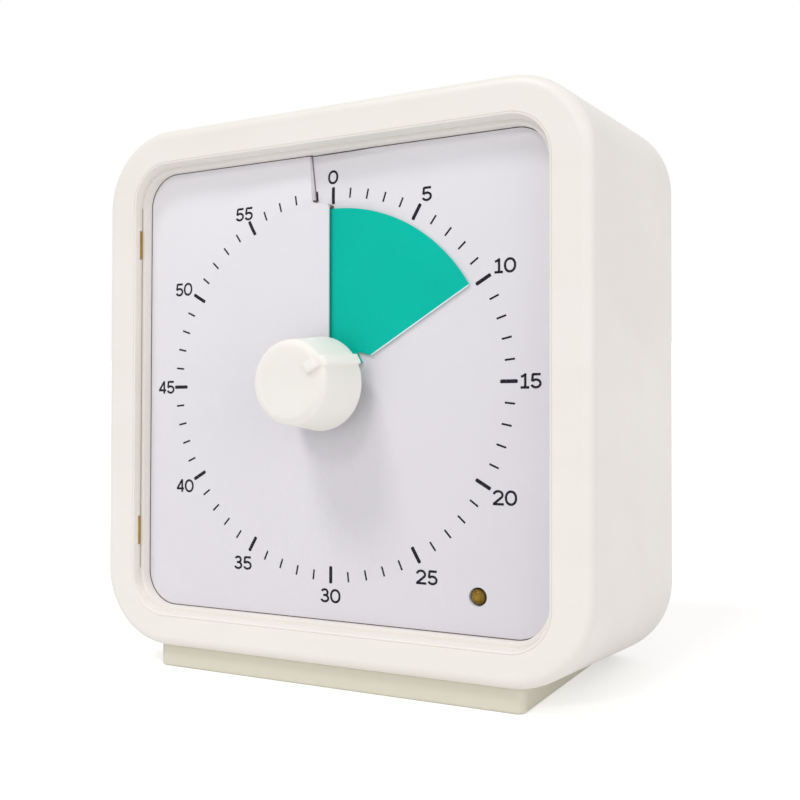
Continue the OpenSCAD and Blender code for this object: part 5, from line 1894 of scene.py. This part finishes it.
@dataclass
class Lamp:
    """Round amber lamp that stands a little proud of the dial."""

    proud: float = 0.9
    seat: float = -5.375
    flange: float = 1.0
    flange_reach: float = 0.4
    leg_half_pitch: float = 1.27
    leg_radius: float = 0.25
    leg_low: float = -9.4

    def build(self) -> None:
        """Makes the dome, the flange behind it and the two legs."""
        solid = Solid()
        dome = solid.rod(LAMP_AT, self.seat, self.proud, LAMP_RADIUS, 64)
        tip = [v for v in dome if v.co.z > self.proud - 0.01]
        rim = [e for e in solid.bm.edges if e.verts[0] in tip and e.verts[1] in tip]
        solid.round_edges(rim, LAMP_RADIUS * 0.96, 9)
        back = self.seat - self.flange
        solid.rod(LAMP_AT, back, self.seat, LAMP_RADIUS + self.flange_reach, 48)
        for side in (-self.leg_half_pitch, self.leg_half_pitch):
            solid.rod((LAMP_AT[0] + side, LAMP_AT[1]), self.leg_low, back, self.leg_radius, 12)
        fit(solid.made("indicator_lamp"), AMBER_LAMP, "case", ["led"])


# ---------------------------------------------------------------- pieces inside the case


@dataclass(frozen=True)
class Insides:
    """The solids that keep their own meshes, with the finish of each."""

    finishes: tuple[tuple[Finish, tuple[str, ...]], ...] = (
        (PLATE_PLASTIC, ("dial_plate",)),
        (TEAL_FILM, ("disc_hub",)),
        (DARK_PLASTIC, ("movement_base", "movement_cover", "rotor", "board_parts",
                        "switch_body", "switch_slider", "buzzer")),
        (BRIGHT_STEEL, ("case_screws", "dial_plate_screws", "spindle", "movement_screws",
                        "door_screw", "board_screws", "led_board_screw", "stator", "coil_core")),
        (SPRING_STEEL, ("spindle_clip", "clutch_spring", "battery_springs", "link_contact",
                        "positive_contact", "negative_contact")),
        (WHEEL_BRASS, ("centre_wheel", "third_wheel", "second_wheel", "first_wheel")),
        (COIL_WIRE, ("coil",)),
        (GREEN_BOARD, ("main_board", "led_board")),
        (CELL_JACKET, ("batteries",)),
        (RED_BLACK, ("battery_leads",)),
        (YELLOW_BLACK, ("led_leads",)),
        (COPPER_PAIR, ("coil_leads",)),
        (WHITE_PAIR, ("buzzer_leads",)),
    )

    def dress(self, nodes: dict[str, bpy.types.Object]) -> None:
        """Gives each solid its finish.

        Args:
            nodes: The solids of the frame by name.
        """
        for finish, names in self.finishes:
            for name in names:
                finish.dress(nodes[name])
            log.info("%s on %s", finish.name, ", ".join(names))


# ---------------------------------------------------------------- studio


@dataclass(frozen=True)
class Sun:
    """A soft lamp far away, given by where it stands as seen from the object."""

    name: str
    around: float
    above: float
    strength: float
    softness: float

    def build(self) -> None:
        """Adds the lamp. It stands at a turn to the right of the front, above the floor."""
        light = bpy.data.lights.new(self.name, "SUN")
        light.energy, light.angle = self.strength, math.radians(self.softness)
        lamp = bpy.data.objects.new(self.name, light)
        around, above = math.radians(self.around), math.radians(self.above)
        towards = Vector((math.sin(around) * math.cos(above), -math.cos(around) * math.cos(above),
                          math.sin(above)))
        lamp.rotation_mode = "QUATERNION"
        lamp.rotation_quaternion = (-towards).to_track_quat("-Z", "Y")
        lamp.location = towards
        bpy.context.scene.collection.objects.link(lamp)


@dataclass
class Studio:
    """Pale floor, soft light and the camera."""

    eye: Point = (191.905, -12.768, 315.801)
    around: float = 0.587301
    above: float = -0.021347
    roll: float = 0.004337
    lens: float = 55.462
    sensor: float = 36.0
    clip: Pair = (0.01, 50.0)
    shift: Pair = (0.149375, 0.000625)
    ambient: float = 0.595
    suns: tuple[Sun, ...] = (
        Sun("key_light", -3.0, 33.0, 0.33, 9.0),
        Sun("top_light", -25.0, 61.0, 0.96, 15.0),
        Sun("fill_light", 66.0, 14.0, 0.6, 45.0),
    )

    def floor(self) -> None:
        """Wide pale floor."""
        bm = bmesh.new()
        bmesh.ops.create_grid(bm, x_segments=2, y_segments=2, size=4.0)
        mesh = bpy.data.meshes.new("studio_floor")
        bm.to_mesh(mesh)
        bm.free()
        floor = bpy.data.objects.new("studio_floor", mesh)
        bpy.context.scene.collection.objects.link(floor)
        PALE_FLOOR.dress(floor)

    def backdrop(self) -> None:
        """White all round for what is seen directly, in gloss or through the window."""
        world = bpy.data.worlds.new("studio")
        bpy.context.scene.world = world
        world.use_nodes = True
        sheet = NodeSheet(world.node_tree)
        seen = sheet.seen_directly()
        soft = sheet.node("ShaderNodeBackground", {},
                          {"Color": (1.0, 0.995, 0.985), "Strength": self.ambient})
        white = sheet.node("ShaderNodeBackground", {}, {"Color": (1.0, 1.0, 1.0), "Strength": 1.0})
        mixed = sheet.node("ShaderNodeMixShader", {}, {0: seen, 1: soft.outputs[0], 2: white.outputs[0]})
        sheet.show(mixed.outputs[0], "ShaderNodeOutputWorld")

    def camera(self) -> None:
        """Camera on the right of the dial, a little above the middle of the case."""
        back = Vector((math.sin(self.around) * math.cos(self.above), math.sin(self.above),
                       math.cos(self.around) * math.cos(self.above)))
        right = Vector((0, 1, 0)).cross(back).normalized()
        up = back.cross(right)
        c, s = math.cos(self.roll), math.sin(self.roll)
        axes = Matrix((c * right + s * up, c * up - s * right, back)).transposed().to_4x4()
        data = bpy.data.cameras.new("camera")
        data.sensor_width, data.lens = self.sensor, self.lens
        data.shift_x, data.shift_y = self.shift
        data.clip_start, data.clip_end = self.clip
        camera = bpy.data.objects.new("camera", data)
        turn = STAND.turn @ axes
        camera.matrix_world = Matrix.Translation(STAND.place @ Vector(self.eye)) @ turn
        bpy.context.scene.collection.objects.link(camera)
        bpy.context.scene.camera = camera

    def build(self) -> None:
        """Sets up the studio."""
        self.floor()
        self.backdrop()
        for sun in self.suns:
            sun.build()
        self.camera()
        bpy.context.scene.view_settings.view_transform = "Standard"


# ---------------------------------------------------------------- all of it


def main() -> None:
    """Builds every sub-assembly in order, dresses the solids inside and sets up the studio."""
    logging.basicConfig(level=logging.INFO, format="%(name)s: %(message)s")
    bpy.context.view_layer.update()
    Case().build()
    Window().build()
    DialFace().build()
    Disc().build()
    SettingKnob().build()
    Lamp().build()
    Insides().dress(frame["nodes"])
    Studio().build()
    bpy.context.view_layer.update()


if __name__ == "__main__":
    main()
